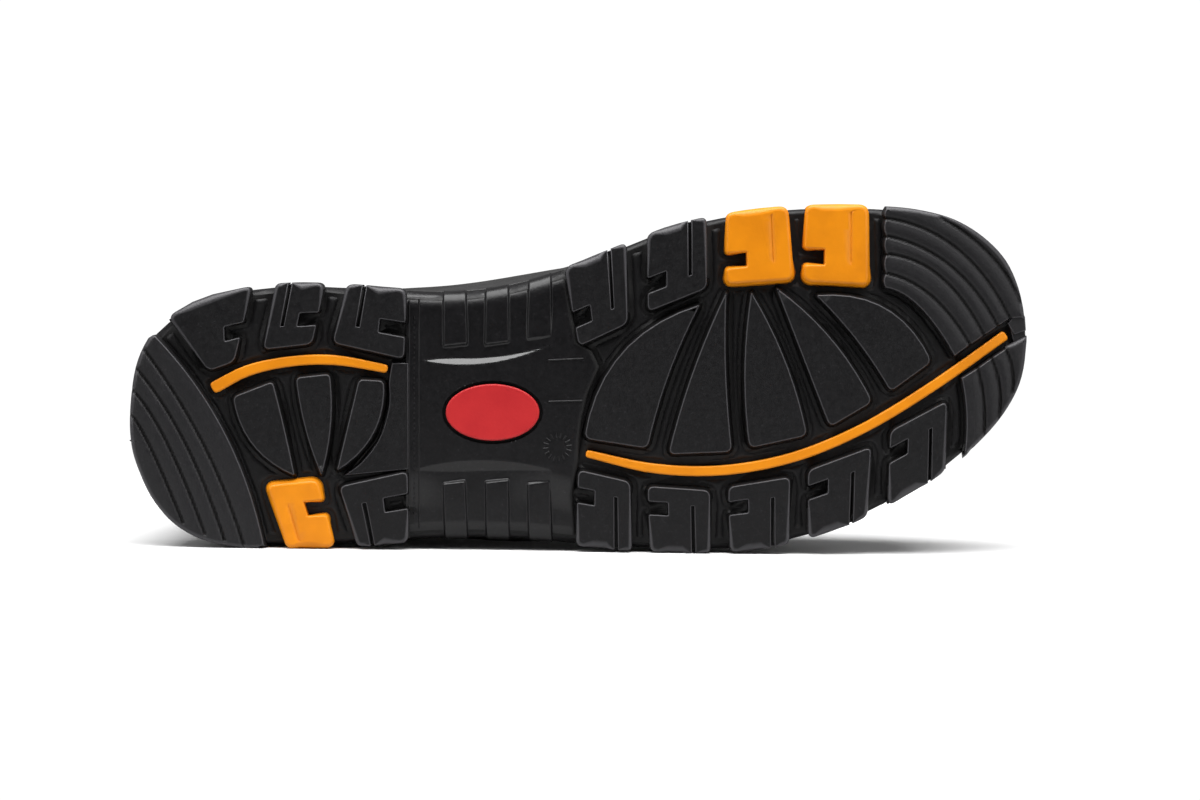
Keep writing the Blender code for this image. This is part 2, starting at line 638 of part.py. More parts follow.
def rib_blocks(name, lines, last_edge, collection):
    """A low plate over the whole zone and a band between each pair of lines."""
    edges = [through(line, 5) for line in lines]
    turn = 1 if (edges[1][2] - edges[0][2]).cross(edges[0][3] - edges[0][2]) < 0 else -1
    plate = shifted(edges[0], turn * 0.4) + shifted(last_edge, -turn * 0.4)[::-1]
    blocks = [block(name + "_plate", plate, RIB_GROOVE_LEVEL, EDGE_TOP - 1.0, collection)]
    for i, line in enumerate(edges):
        near = shifted(line, turn * RIB_GROOVE / 2) if i else line
        if i + 1 < len(edges):
            far = shifted(edges[i + 1], -turn * RIB_GROOVE / 2)
        else:
            far = last_edge
        blocks.append(block(f"{name}_band_{i}", near + far[::-1], 0.0, EDGE_TOP, collection))
    return blocks


def grown(points, distances):
    """Closed outline with each point moved along its own normal, outwards where positive."""
    area = sum(a[0] * b[1] - b[0] * a[1] for a, b in zip(points, points[1:] + points[:1]))
    turn = 1 if area > 0 else -1
    moved = []
    for i, point in enumerate(points):
        along = (Vector(points[(i + 1) % len(points)][:2]) - Vector(points[i - 1][:2])).normalized()
        moved.append(Vector(point[:2]) + Vector((along.y, -along.x)) * distances[i] * turn)
    return moved


def sole_body(grow=0.0):
    """Sole without its tread: side wall, rim and the cup; a grown body has no groove in its wall."""
    lean, rim, floor = leans(), station_values("rim"), station_values("floor")
    rings = []
    for row in SIDE_WALL:
        step = max(row.step, 0.0) if grow and row.height > 0.2 else row.step
        plan = outline([step + grow - row.lean * value for value in lean])
        ring = []
        for point, top in zip(plan, rim):
            base = LUG_DEPTH + lift(point.x) - grow
            ring.append((point.x, point.y, base + (top - base) * row.height))
        rings.append(ring)
    plan = outline([-RIM_WALL - value for value in lean])
    rings.append([(p.x, p.y, top - 0.2) for p, top in zip(plan, rim)])
    rings.append([(p.x, p.y, low) for p, low in zip(plan, floor)])
    return loft("outsole", rings)


def waist_bar(bar, number, collection):
    """Low bar across the side of the waist; its outer end leans out to stand on the side wall."""
    outer = [(x, (edge(x, bar.side) + BAR_PROUD - BAR_LEAN) * bar.side) for x in (bar.rear, bar.front)]
    inner = [(x, bar.inner_y * bar.side) for x in (bar.inner_front, bar.inner_rear)]
    points = rounded(outer + inner, [0.6, 0.6, 1.2, 1.2], 2)
    flares = [BAR_LEAN] * (len(points) // 2) + [0.0] * (len(points) // 2)
    return block(f"waist_bar_{number}", points, BAR_LEVEL, EDGE_TOP + 1.0, collection, flares=flares)


def waist_outline():
    """Waist plate: both edges of the sole, joined in front along the forefoot's fan, and its flares."""
    sides = {}
    for side in (-1, 1):
        rear, front = WAIST_REAR_X[side], WAIST_FRONT_X[side]
        stops = [rear + (front - rear) * i / 8 for i in range(9)]
        sides[side] = [(x, side * (edge(x, side) - WAIST_EDGE_INSET)) for x in stops]
    edge_flares = [WAIST_EDGE_FLARE] * len(sides[1])
    flares = edge_flares + [0.0] * len(WAIST_FRONT) + edge_flares
    return sides[-1] + WAIST_FRONT + sides[1][::-1], flares


def tread_blocks(collection):
    """Everything that stands out of the sole's floor."""
    floor = LUG_DEPTH + EMBED
    blocks = [item for lug in LUGS for item in lug_blocks(lug, collection)]
    for pad in PADS:
        points = pad_outline(pad)
        flares = [PAD_FLARE] * len(points)
        blocks.append(block(pad.name, points, 0.0, floor, collection, flares=flares))
    heel_edge = grown_edge(rim_stretch(11.0, 40.0, toe=False))
    blocks += rib_blocks("heel_ribs", HEEL_RIBS, heel_edge, collection)
    toe_start = Vector((264.4, -edge(264.4, -1)))
    toe_edge = grown_edge([toe_start] + rim_stretch(266.0, 400.0, toe=True))
    blocks += rib_blocks("toe_inner_ribs", TOE_INNER_RIBS, toe_edge, collection)
    tip_edge = [Vector((306.8, 1.6))] + [p for p in rim_stretch(400.0, 282.0, toe=True) if p.y > 3.0]
    blocks += rib_blocks("toe_outer_ribs", TOE_OUTER_RIBS, grown_edge(tip_edge), collection)
    blocks.append(block("toe_tip", TOE_TIP, TOE_TIP_LEVEL, EDGE_TOP + 0.5, collection))
    blocks.append(block("toe_tip_base", TOE_TIP_BASE, TOE_TIP_BASE_LEVEL, EDGE_TOP - 0.5, collection))
    plate, flares = waist_outline()
    blocks.append(block("waist_plate", plate, WAIST_SIDE_LEVEL, floor, collection, flares=flares))
    slopes = [row.flare for row in PLATFORM]
    blocks.append(block("waist_platform", PLATFORM, WAIST_LEVEL, floor + 0.1, collection, flares=slopes))
    blocks.append(block("heel_front_plate", HEEL_FRONT_PLATE, HEEL_FRONT_LEVEL, floor + 0.2, collection))
    blocks += [waist_bar(bar, i, collection) for i, bar in enumerate(WAIST_BARS)]
    return blocks


def grown_edge(points):
    """The tread's edge moved out a little, so that bands stand proud of the side wall."""
    middle = Vector((SOLE_LENGTH / 2, 0.0))
    return [p + (p - middle).normalized() * RIB_PROUD for p in points]


def make_outsole(parts, cutters, material):
    outsole = link("outsole", sole_body(), parts, material)
    combine(outsole, tread_blocks(cutters), "UNION")
    low = BADGE_LEVEL + BADGE_THICKNESS + GAP
    cuts = [block("badge_pocket", oval(POCKET_RIM), -1.0, low, cutters)]
    cuts += [slit_cutter(lug, SLIT_DEPTH, cutters) for lug in LUGS if MOTIFS[lug.motif].slit_at]
    groove = strip_outline(TOE_EDGE_GROOVE)
    cuts.append(block("toe_edge_groove", groove, -2.0, RIB_GROOVE_LEVEL, cutters))
    combine(outsole, cuts, "DIFFERENCE")
    drop_flat_points(outsole)
    return outsole


def make_grips(parts, cutters, material):
    """Orange lugs cut back from the sole's wall, and the two strips that lie on its floor."""
    clearance = link("sole_clearance", sole_body(GAP), cutters)
    for lug in GRIP_LUGS:
        piece, shoulder = lug_blocks(lug, cutters)
        cutters.objects.unlink(piece)
        parts.objects.link(piece)
        combine(piece, [shoulder], "UNION")
        combine(piece, [clearance, slit_cutter(lug, GRIP_SLIT_DEPTH, cutters)], "DIFFERENCE")
        piece.data.materials.append(material)
    top = LUG_DEPTH - GAP
    for name, rows, blunt in (("forefoot_strip", FOREFOOT_STRIP, True), ("heel_strip", HEEL_STRIP, False)):
        piece = block(name, strip_outline(rows, blunt=blunt), STRIP_LEVEL, top, parts)
        piece.data.materials.append(material)


def make_badge(parts, material):
    piece = block("arch_badge", oval(0.0), BADGE_LEVEL, BADGE_LEVEL + BADGE_THICKNESS, parts)
    piece.data.materials.append(material)


def egg(share, ring):
    """Half width of an upper ring as a share of its widest place, from the heel to the front."""
    if share < ring.crown:
        back = (ring.crown - share) / ring.crown
        return max(0.0, 1 - back ** HEEL_ROUND) ** (1 / HEEL_ROUND)
    ahead = (share - ring.crown) / (1 - ring.crown)
    return max(0.0, 1 - ahead ** ring.nose) ** ring.blunt


def foot_plan(inset):
    """Foot outline inside the rim, as equal inner and outer lists from heel to toe."""
    plan = outline([-inset - value for value in leans()])
    half = len(SOLE)
    inner = plan[:half]
    outer = [plan[0]] + plan[:half - 2:-1]
    return inner, outer


def upper_ring(ring, inset):
    """One ring of the upper: the foot's plan below, turning into a rounded oval at the ankle."""
    inner, outer = foot_plan(RIM_WALL + GAP - ring.swell + inset)
    heel, toe = inner[0].x, inner[-1].x
    picked = [i for i in range(len(SOLE)) if i % UPPER_EVERY == 0 or i == len(SOLE) - 1]
    sides = []
    for points, half, sign in ((inner, ring.inner, -1), (outer, ring.outer, 1)):
        side = []
        for i in picked:
            foot = points[i]
            share = (foot.x - heel) / (toe - heel)
            back, front = ring.back_x + inset, ring.front_x - inset
            x = foot.x * ring.foot + (back + (front - back) * share) * (1 - ring.foot)
            y = foot.y * ring.foot + sign * (half - inset) * egg(share, ring) * (1 - ring.foot)
            level = SOLE[i].rim + ring.rise
            slope = ring.back_z + (ring.front_z - ring.back_z) * share
            side.append((x, y, level * ring.foot + slope * (1 - ring.foot)))
        sides.append(side)
    return around(sides[0], sides[1])


def upper_rings(inset):
    """All rings, with a first one that stands on the floor of the sole's cup."""
    first = upper_ring(UPPER_RINGS[0], inset)
    picked = [i for i in range(len(SOLE)) if i % UPPER_EVERY == 0 or i == len(SOLE) - 1]
    floors = [SOLE[i].floor + GAP for i in picked]
    seat = [(p[0], p[1], low) for p, low in zip(first, around(floors, floors))]
    return [seat] + [upper_ring(ring, inset) for ring in UPPER_RINGS]


def gore_cutter(side, cutters):
    """Side panel's outline pushed through one side of the shaft, less the form under the panel."""
    points = [Vector(p) for p in GORE]
    radii = [0.0, 0.0, GORE_CORNER, GORE_CORNER, GORE_CORNER, GORE_CORNER]
    panel = block(f"gore_{side}", rounded(points, radii), 10.0, 70.0, cutters, sprung=False)
    for vertex in panel.data.vertices:
        x, y, z = vertex.co
        vertex.co = (x, side * z, y)
    if side > 0:
        panel.data.flip_normals()
    under = link(f"gore_floor_{side}", loft("gore_floor", upper_rings(GORE_DEPTH)), cutters)
    combine(panel, [under], "DIFFERENCE")
    return panel


def make_upper(parts, cutters, material):
    """Leather shell of one wall thickness, open at the collar and underneath."""
    shell = loft("upper", upper_rings(0.0), cap_first=False, cap_last=False)
    upper = link("upper", shell, parts, material)
    wall = upper.modifiers.new("wall", "SOLIDIFY")
    wall.thickness = UPPER_WALL * MM
    wall.offset = -1.0
    wall.use_even_offset = True
    bpy.context.view_layer.update()
    mesh = evaluated_mesh(upper)
    upper.modifiers.clear()
    upper.data = mesh
    combine(upper, [gore_cutter(-1, cutters), gore_cutter(1, cutters)], "DIFFERENCE")
    return upper


def make_insole(parts, material):
    """Insole inside the upper's lower edge, lying on the floor of the cup."""
    inner, outer = foot_plan(RIM_WALL + UPPER_WALL + 3 * GAP)
    picked = [i for i in range(len(SOLE)) if i % UPPER_EVERY == 0 or i == len(SOLE) - 1]
    rings = []
    for height, inset in ((GAP, 0.6), (1.2, 0.0), (INSOLE_THICKNESS - 0.8, 0.0), (INSOLE_THICKNESS, 0.8)):
        ring = []
        for i in around(picked, [-i for i in picked]):
            point = inner[i] if i >= 0 and i in picked else outer[-i]
            ring.append(point)
        middle = Vector((SOLE_LENGTH / 2, 0.0))
        levels = [SOLE[abs(i)].floor + height for i in around(picked, picked)]
        shrunk = [p - (p - middle).normalized() * inset for p in ring]
        rings.append([(p.x, p.y, z) for p, z in zip(shrunk, levels)])
    insole = link("insole", loft("insole", rings), parts, material)
    return insole


def resting_matrix(items):
    """Turn that lays the boot on its outer side: sole edge at heel and ball, and the upper behind."""
    points = [item.matrix_world @ v.co for item in items for v in item.data.vertices]
    heel = max((p for p in points if p.x < 0.1), key=lambda p: p.y)
    for _ in range(20):
        ball = max((p for p in points if p.x > 0.15), key=lambda p: (p.y - heel.y) / (p.x - heel.x))
        heel = min((p for p in points if p.x < 0.12), key=lambda p: (ball.y - p.y) / (ball.x - p.x))
    along = (ball - heel).normalized()
    across = along.cross(Vector((0.0, 0.0, 1.0))).normalized() * -1
    high = [p for p in points if p.z > 0.06]
    leaning = min(high, key=lambda p: -(p - heel).dot(across) / (p.z - heel.z))
    normal = along.cross(leaning - heel).normalized()
    if normal.y < 0:
        normal.negate()
    up = normal * -1
    depth = (Vector((0.0, 0.0, 1.0)) - up * up.z).normalized()
    return Matrix((depth.cross(up), depth, up)).to_4x4()


def lay_down(items):
    """Parent every piece to one empty that lies on the floor, centred over the origin."""
    holder = bpy.data.objects.new("boot_frame", None)
    bpy.context.scene.collection.objects.link(holder)
    turn = resting_matrix(items)
    points = [turn @ v.co for item in items for v in item.data.vertices]
    lows = [min(p[axis] for p in points) for axis in range(3)]
    highs = [max(p[axis] for p in points) for axis in range(3)]
    middle = Vector(((lows[0] + highs[0]) / 2, (lows[1] + highs[1]) / 2, lows[2]))
    holder.matrix_world = Matrix.Translation(-middle) @ turn
    for item in items:
        item.parent = holder


def main():
    clear_scene()
    parts = make_collection("work_boot")
    cutters = make_collection("cutters")
    make_outsole(parts, cutters, make_material("outsole"))
    make_upper(parts, cutters, make_material("upper"))
    make_insole(parts, make_material("insole"))
    make_grips(parts, cutters, make_material("grip"))
    make_badge(parts, make_material("badge"))
    for item in cutters.objects:
        item.hide_render = True
        item.display_type = "WIRE"
    bpy.context.view_layer.update()
    lay_down(list(parts.objects))


main()
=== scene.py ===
"""Left work boot lying on its outer side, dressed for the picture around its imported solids."""

import json
import math
from collections import namedtuple
from functools import partial

import bmesh
import bpy
import numpy as np
from mathutils import Matrix, Vector
from mathutils.bvhtree import BVHTree
from mathutils.geometry import delaunay_2d_cdt
from mathutils.kdtree import KDTree


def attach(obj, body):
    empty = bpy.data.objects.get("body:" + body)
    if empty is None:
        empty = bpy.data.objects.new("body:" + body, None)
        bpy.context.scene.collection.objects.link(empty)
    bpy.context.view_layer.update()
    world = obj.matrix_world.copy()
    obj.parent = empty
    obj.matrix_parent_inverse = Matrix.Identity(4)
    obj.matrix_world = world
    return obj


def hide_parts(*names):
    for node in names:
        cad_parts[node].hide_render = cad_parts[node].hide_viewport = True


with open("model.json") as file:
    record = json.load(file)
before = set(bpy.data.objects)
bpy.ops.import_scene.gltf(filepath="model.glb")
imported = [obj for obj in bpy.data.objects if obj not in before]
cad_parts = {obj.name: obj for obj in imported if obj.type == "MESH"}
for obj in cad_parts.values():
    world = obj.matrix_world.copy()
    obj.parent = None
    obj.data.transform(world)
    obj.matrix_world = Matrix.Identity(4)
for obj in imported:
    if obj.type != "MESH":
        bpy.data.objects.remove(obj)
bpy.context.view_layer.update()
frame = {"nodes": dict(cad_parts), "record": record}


def table(fields, *rows):
    """Rows of values under named columns."""
    row_type = namedtuple("row_type", fields)
    return [row_type(*row) for row in rows]


# Boot frame used below: x from the back of the heel to the toe, y outwards, z up from the tread, in mm
MM = 0.001
FLOOR_CLEAR = 0.0002

# Sizes shared with the solids
HEEL_MOUNT_X = 46.0
SOLE_LENGTH = 306.8
TOE_SPRING = 13.0
SPRING_START = 226.0
SPRING_POWER = 1.8
HEEL_BEVEL = 3.0
BEVEL_START = 24.0
LUG_DEPTH = 4.0
LUG_SHOULDER = 12.0
GAP = 0.3
RIM_WALL = 3.0
UPPER_WALL = 2.4
INSOLE_THICKNESS = 4.0

# Sole outline as in the solids: half widths, lean of the side wall, heights of the rim and the cup floor
STATIONS = table(
    "x inner outer inner_lean outer_lean rim floor",
    (0.4, -1, 1, 3, 3, 34, 24),
    (2.2, 13.2, 12.4, 3, 3, 34, 24),
    (6, 25.5, 22.4, 3, 3, 34, 24),
    (12, 34.1, 30.6, 3, 2.8, 34, 24),
    (20, 39.9, 36.3, 3, 2.6, 34, 24),
    (32, 43.8, 40.5, 3, 2.4, 33.5, 24),
    (46, 45.4, 42.4, 3, 2.4, 33, 23.8),
    (62, 44.8, 44, 2.6, 2.4, 32.5, 23.4),
    (80, 42.2, 45.1, 1.6, 1.8, 31.5, 22.6),
    (98, 38.6, 45.7, 0, -0.4, 30.5, 21),
    (116, 36.2, 47.6, -1.4, -2, 29.5, 19),
    (134, 36.4, 50.4, -1.6, -1.6, 28, 17.2),
    (152, 39.4, 54.2, -0.6, 0.8, 26.6, 15.6),
    (170, 44.3, 57.7, 1.2, 2.4, 25.2, 14.4),
    (190, 49.5, 60.4, 2.6, 3, 24.2, 13.6),
    (208, 51.6, 61.3, 3, 3, 23.6, 13),
    (226, 52, 59.4, 3, 3, 23.2, 13),
    (244, 50.8, 55, 3, 3, 23.6, 13.6),
    (260, 48.8, 48.9, 3, 3, 25, 15.2),
    (274.4, 45.9, 42.1, 3, 3, 27.2, 17.6),
    (286.6, 41.2, 33.9, 3, 3, 29.8, 20.4),
    (295.9, 34.2, 25.6, 3, 3, 32, 22.8),
    (302.6, 25.6, 16.2, 3, 3, 33.6, 24.6),
    (305.9, 15.8, 5.8, 3, 3, 34.6, 25.6),
    (306.8, 6, -6, 3, 3, 34.8, 26),
)
OUTLINE_STEP = 2.4

# Edge lugs as in the solids, of rubber and of grip: stations on the edge, then the two inner corners
LUG = "name side rear front rear_x rear_y front_x front_y motif"
LUGS = table(
    LUG,
    ("heel_inner_back", -1, 17.2, 47, 29, 19.5, 38, 21.6, "heel_plain"),
    ("heel_inner_mid", -1, 55, 71.7, 48.3, 24.6, 65, 24.6, "heel"),
    ("heel_inner_front", -1, 79, 99, 72, 24.2, 95.4, 16, "heel"),
    ("heel_outer_front", 1, 72.3, 89.8, 68.6, 24.6, 92.2, 22.2, "heel"),
    ("ball_inner_rear", -1, 153, 175, 155, 13.6, 172.2, 19.3, "forefoot"),
    ("ball_inner_mid", -1, 182.2, 203, 179.6, 22.6, 200.3, 28.2, "forefoot"),
    ("ball_outer_1", 1, 146.2, 165, 150, 28.2, 167, 34.2, "forefoot"),
    ("ball_outer_2", 1, 171, 191.5, 172.8, 36.4, 193.6, 40.2, "forefoot"),
    ("ball_outer_3", 1, 198, 218.4, 200, 39.8, 221.2, 38.8, "forefoot"),
    ("ball_outer_4", 1, 225, 246, 227.6, 37.2, 249.8, 31.8, "forefoot"),
    ("ball_outer_5", 1, 253.2, 274.4, 257, 27.2, 277.4, 19.4, "forefoot"),
)
GRIP_LUGS = table(
    LUG,
    ("grip_lug_heel", 1, 48.3, 65, 44, 21.2, 61.6, 21.4, "heel"),
    ("grip_lug_ball", -1, 209.6, 231, 207, 28.6, 229.8, 27.6, "forefoot"),
    ("grip_lug_toe", -1, 236.8, 258.4, 233.2, 26.6, 255.2, 22.8, "forefoot"),
)
LUG_PROUD = {-1: 1.1, 1: 0.9}

# Lug motif in shares of the block: notch in one side and a thin slit from the edge
Motif = namedtuple("Motif", "notch_in_front notch_from notch_to notch_reach slit_at slit_from")
MOTIFS = {
    "forefoot": Motif(False, 0.23, 0.43, 0.32, 0.72, 0.26),
    "heel": Motif(True, 0.31, 0.52, 0.39, 0.3, 0.33),
    "heel_plain": Motif(True, 0.32, 0.52, 0.34, None, None),
}
RIM_SHARES = (0.0, 0.3, 0.54, 1.0)
RIM_CLEAR = 0.12
SLIT_WIDTH = 1.25
SLIT_DEPTH = 2.8
SLIT_RIM = 0.98
GRIP_SLIT = 0.5
GRIP_SLIT_WIDE = (0.1, 0.5)
GRIP_SLIT_RISE = (-0.4, 0.4)
GRIP_SLIT_END = 1.05
GRIP_SLIT_STEP = 0.8
GRIP_SLIT_ASIDE = (-0.55, -0.25, 0.0, 0.25, 0.55)

# Form of the blocks: corner radius, flare of the wall and rounding of the edge at each kind of corner
Corner = namedtuple("Corner", "radius flare rounding")
LUG_CORNERS = {
    "end": Corner(2.4, 1.1, 0.5),
    "mouth": Corner(0.8, 0.7, 0.45),
    "root": Corner(0.5, 0.3, 0.45),
    "rim": Corner(3.0, 0.0, 1.4),
    "crest": Corner(0.0, 0.0, 2.8),
    "slit_mouth": Corner(0.0, 0.0, 0.45),
    "slit_end": Corner(0.3, 0.0, 0.3),
}
GRIP_CORNERS = {
    "end": Corner(2.8, 1.1, 1.2),
    "mouth": Corner(1.3, 0.7, 0.9),
    "root": Corner(0.5, 0.3, 0.7),
    "rim": Corner(3.6, 0.0, 1.5),
    "crest": Corner(0.0, 0.0, 2.4),
}

# Build of the blocks: least corner, foot and wall, grid of the face, how far its relief reaches, how much
# painted shade its grooves get, and how deep a groove fades the edge's wear and painted highlight
SHARP_CORNER = 0.05
BLOCK_PROUD = 0.05
WALL_START = 0.2
FOOT_SINK = 0.2
FOOT_IN = 0.4
RIM_FOOT_IN = 2.0
FACE_GRID = 2.6
FACE_INSET = 0.12
FACE_ROOM = 0.4
EXTRA_ROOM = 0.15
EDGE_STEPS = 4
RELIEF_FADE = (1.0, 3.0)
GROOVE_PAINTED_SHADE = 1.1
WEAR_AND_HIGHLIGHT_FADE = (0.2, 0.7)

# Fan pads as in the solids: tip, the two corners of the base and how far each side bows outwards
PADS = table(
    "tip_x tip_y rear_x rear_y front_x front_y rear_bow front_bow",
    (53.9, 19.2, 36.2, -9.8, 50.2, -13.4, 4.8, 0.3),
    (63, 20.2, 58.2, -13.8, 69.8, -13.8, 1.3, 1.8),
    (68.4, 19.2, 79.4, -10.8, 87.8, -9.4, 0, 5.2),
    (197.4, -22.9, 153.2, 17.8, 174.2, 23.6, 9.4, -1.8),
    (206.8, -26.2, 181, 26.4, 202.6, 28, 1.6, -1.1),
    (215.2, -25.2, 208.6, 27.4, 228.6, 25.4, 2, 2.3),
    (223.8, -25.6, 236.6, 23.4, 252, 16.6, 0, 3.2),
    (237, -21.6, 258.6, 13.8, 273.8, 5.4, -1.5, 8),
)
PAD_STEPS = 9
PAD_CORNER = 2.6
PAD_TIP = 1.0
PAD_FLARE = 1.2
PAD_ROUNDING = 0.5

# Grip strips as in the solids: points of the centre line with the strip's width there, and end radius
STRIPS = {
    "forefoot_strip": [
        (153.2, 23, 2.4), (176, 30.8, 3.2), (200, 34, 3.3), (224, 32.1, 3.3), (248, 25.2, 3.3),
        (272.3, 14.3, 3.3), (300.5, -0.7, 3.3),
    ],
    "heel_strip": [(29.4, -13.3, 4), (42, -18, 3.7), (57, -19.5, 3.4), (72, -18.2, 3.3), (89.4, -13.2, 2.7)],
}
STRIP_CORNER = {"forefoot_strip": 1.1, "heel_strip": 1.5}
STRIP_STEP = 3.0
STRIP_LEVEL = 1.2
STRIP_ROUNDING = 0.6
BADGE_LEVEL = 1.5
BADGE_ROUNDING = 0.6
BADGE_POINTS = 72

# Rib zones as in the solids: lines through a start, a middle and an end; the first is the zone's border
LINE = "x1 y1 x2 y2 x3 y3"
HEEL_RIBS = table(
    LINE,
    (12.3, -33.2, 31.8, 1.5, 40.8, 41.6),
    (8.3, -28.8, 24.3, 4.5, 34, 40.4),
    (5, -22.6, 18.2, 3.5, 27.8, 38.2),
    (2.4, -16, 12.1, 3, 21.4, 35.4),
    (1, -7.6, 6.6, 5, 14.4, 30.8),
)
TOE_RIBS = table(
    LINE,
    (260.9, -21.6, 271.8, -13.6, 281.9, 4.2),
    (261.7, -26.2, 276.2, -16.7, 287.4, 1.2),
    (262.6, -32.7, 280, -22.9, 292.7, -1.4),
    (263.2, -38.8, 283.9, -26.2, 297.8, -4),
    (263.8, -44.8, 287, -31.6, 302.3, -6.2),
    (282.5, -42.8, 298, -28.5, 306.8, -11.2),
)
TOE_OUTER_RIBS = table(
    LINE,
    (283.5, 12.2, 283.7, 25.1, 281.5, 38.4),
    (289.1, 9.6, 290.1, 20.1, 289, 31.8),
    (294.4, 6.8, 296.1, 16.7, 294.9, 26.8),
    (299.6, 4.2, 301.3, 11.7, 300.4, 19.1),
)
TOE_START = 264.4
TOE_END = (SOLE_LENGTH, 1.6)
RIB_PROUD = 0.8
RIB_TOP = 9.0
RIB_STEP = 0.6
RIB_GRID = 0.5
RIB_GROOVE = 1.25
RIB_INNER = 0.65
RIB_OUTER = 1.2
RIB_CROWN = 0.25
RIB_CROWN_RISE = (0.3, 2.5)
RIB_LAND = 2.6
SCALLOP = 0.8
RIB_FLARE = 0.8
RIB_ROUNDING = 0.5
RIM_ROUNDING = 1.5
# Rib faces lightened all over, for wear and as painted sheen
RIB_WEAR_AND_SHEEN = 0.15

# Toe tip between the two rib zones: its block and the lower one under it, each with its level
TOE_TIPS = [
    ([(301.6, -4.4), (306.3, -8.9), (307.8, -6), (307.6, -1.4), (303.4, -0.4)], 0.8),
    ([(302, -5.4), (306, -10.2), (307.6, -6), (307.2, 3.4), (303, 2.6)], 1.9),
]
TOE_TIP_RIM = 305.0
TOE_TIP_WALL = (0.2, 0.5)

# Plate in front of the heel pads: its curved rear border, then the two front corners
HEEL_PLATE_REAR = [(91.2, -15), (89.6, -9.4), (88.6, -1), (84, 10), (77, 17.4), (71, 21)]
HEEL_PLATE_FRONT = [(92.6, 21.4), (96.6, -14.4)]
HEEL_PLATE_LEVEL = 1.5
HEEL_PLATE_STEP = 1.5
HEEL_PLATE_WALL = (0.6, 0.4)

# Raised web between the blocks: grid, moat round each block, soft edge, height, and levels of the walls
WEB_GRID = 0.6
WEB_MOAT = 1.5
WEB_SOFT = 0.9
WEB_HEIGHT = 0.6
WEB_SINK = 0.06
WEB_BORDER = -0.4
WEB_WALLS = (LUG_DEPTH - 0.7, LUG_DEPTH + 0.25)
FLOOR_SLACK = 0.25

# Waist: levels, rolled edges, ledges of the platform with the width of their slopes, bars and badge pocket
WAIST_SIDE = 3.15
WAIST_RAISE = 1.45
PLATFORM_LEVEL = WAIST_SIDE - WAIST_RAISE
BAR_RAISE = 1.4
ROLL = 6.0
ROLL_OUT = 0.35
ROLL_STEPS = 14
ROLL_BAR = 0.3
ROLL_FADE = (30.0, 90.0)
SKIRT_TOP = 9.5
SKIRT = [(0.7, 0.4), (0.0, 0.0), (0.0, -1.3)]
WAIST_COLUMNS = 206
WAIST_ROWS = 200
CHANNEL_REAR = 94.77
CHANNEL_FRONT = 98.65
CHANNEL_SLANT = -0.1146
INNER_LEDGE, OUTER_LEDGE = table(
    "side x y bend wide_x width rear front tilt",
    (-1, 123, 11.1, 0.0075, 114, 2.5, 101, 147, 0.58),
    (1, 108, 20.9, 0.006, 114, 3.4, 95, 141, 0.42),
)
LEDGE_FADE = 14.0
WAIST_FRONT = [
    (152.6, -42), (154.6, -14.6), (159, -11.4), (161, -5.6), (156, 3), (153, 11.5), (151.2, 18.8),
    (150.2, 25.2), (147, 36), (146.4, 54),
]
FRONT_ROUND = 0.8
FRONT_FOOT = 2.8
# Width of the painted shade along the waist's front border
FRONT_PAINTED_SHADE = 1.6
WAIST_BARS = table(
    "side rear front inner_rear inner_front inner_y",
    (-1, 111.5, 118.5, 109.5, 117, 19),
    (-1, 126, 133, 123.6, 131.2, 18),
    (-1, 141, 147.8, 138, 145.8, 18),
    (1, 102.5, 109.5, 104, 110.8, 28),
    (1, 116.5, 123.6, 118.4, 125.6, 29.2),
    (1, 130.8, 138, 132.6, 139.6, 31.2),
)
BAR_SIDE = 0.8
BAR_END = 0.9
BADGE = (123.2, 5.5, 15.9, 9.6, math.radians(6.5))
POCKET_RIM = 1.2
POCKET_SNAP = 0.96

# Outsole copy: rounded side edges, depths that blocks, plates and waist sink to, and how its border moves in
SIDE_EDGE = (0.5, 3)
SIDE_SHARP = math.radians(28)
SIDE_LEVEL = LUG_SHOULDER + 0.3
SMOOTH_ANGLE = math.radians(40)
MERGE = 0.00005
BLOCK_SINK = 0.8
PLATE_SINK = 2.2
PLATE_SLACK = 0.2
WAIST_FACE = 1.75
WAIST_SINK = WAIST_SIDE + 0.5
EDGE_SLACK = 0.25
INWARDS = (150.0, 0.003, 0.985)

# Marks moulded on the waist: ridges beside the channel, its dashes, a ring of ticks and a bare frame
RIDGE = (0.6, 0.36, 0.05)
RIDGE_STEP = 0.8
RIDGE_END = 3.0
RIDGE_ENDS_X = (98.0, 92.0)
DASHES = (-30.0, 38.0, 1.7)
DASH_LONG = 0.8
TICK_RING = (143.8, 19.7, 3.1, 4.9)
TICKS = 16
FRAME_LINES = [(144, -10, 156, -9.2), (142.5, 4, 154, 5)]

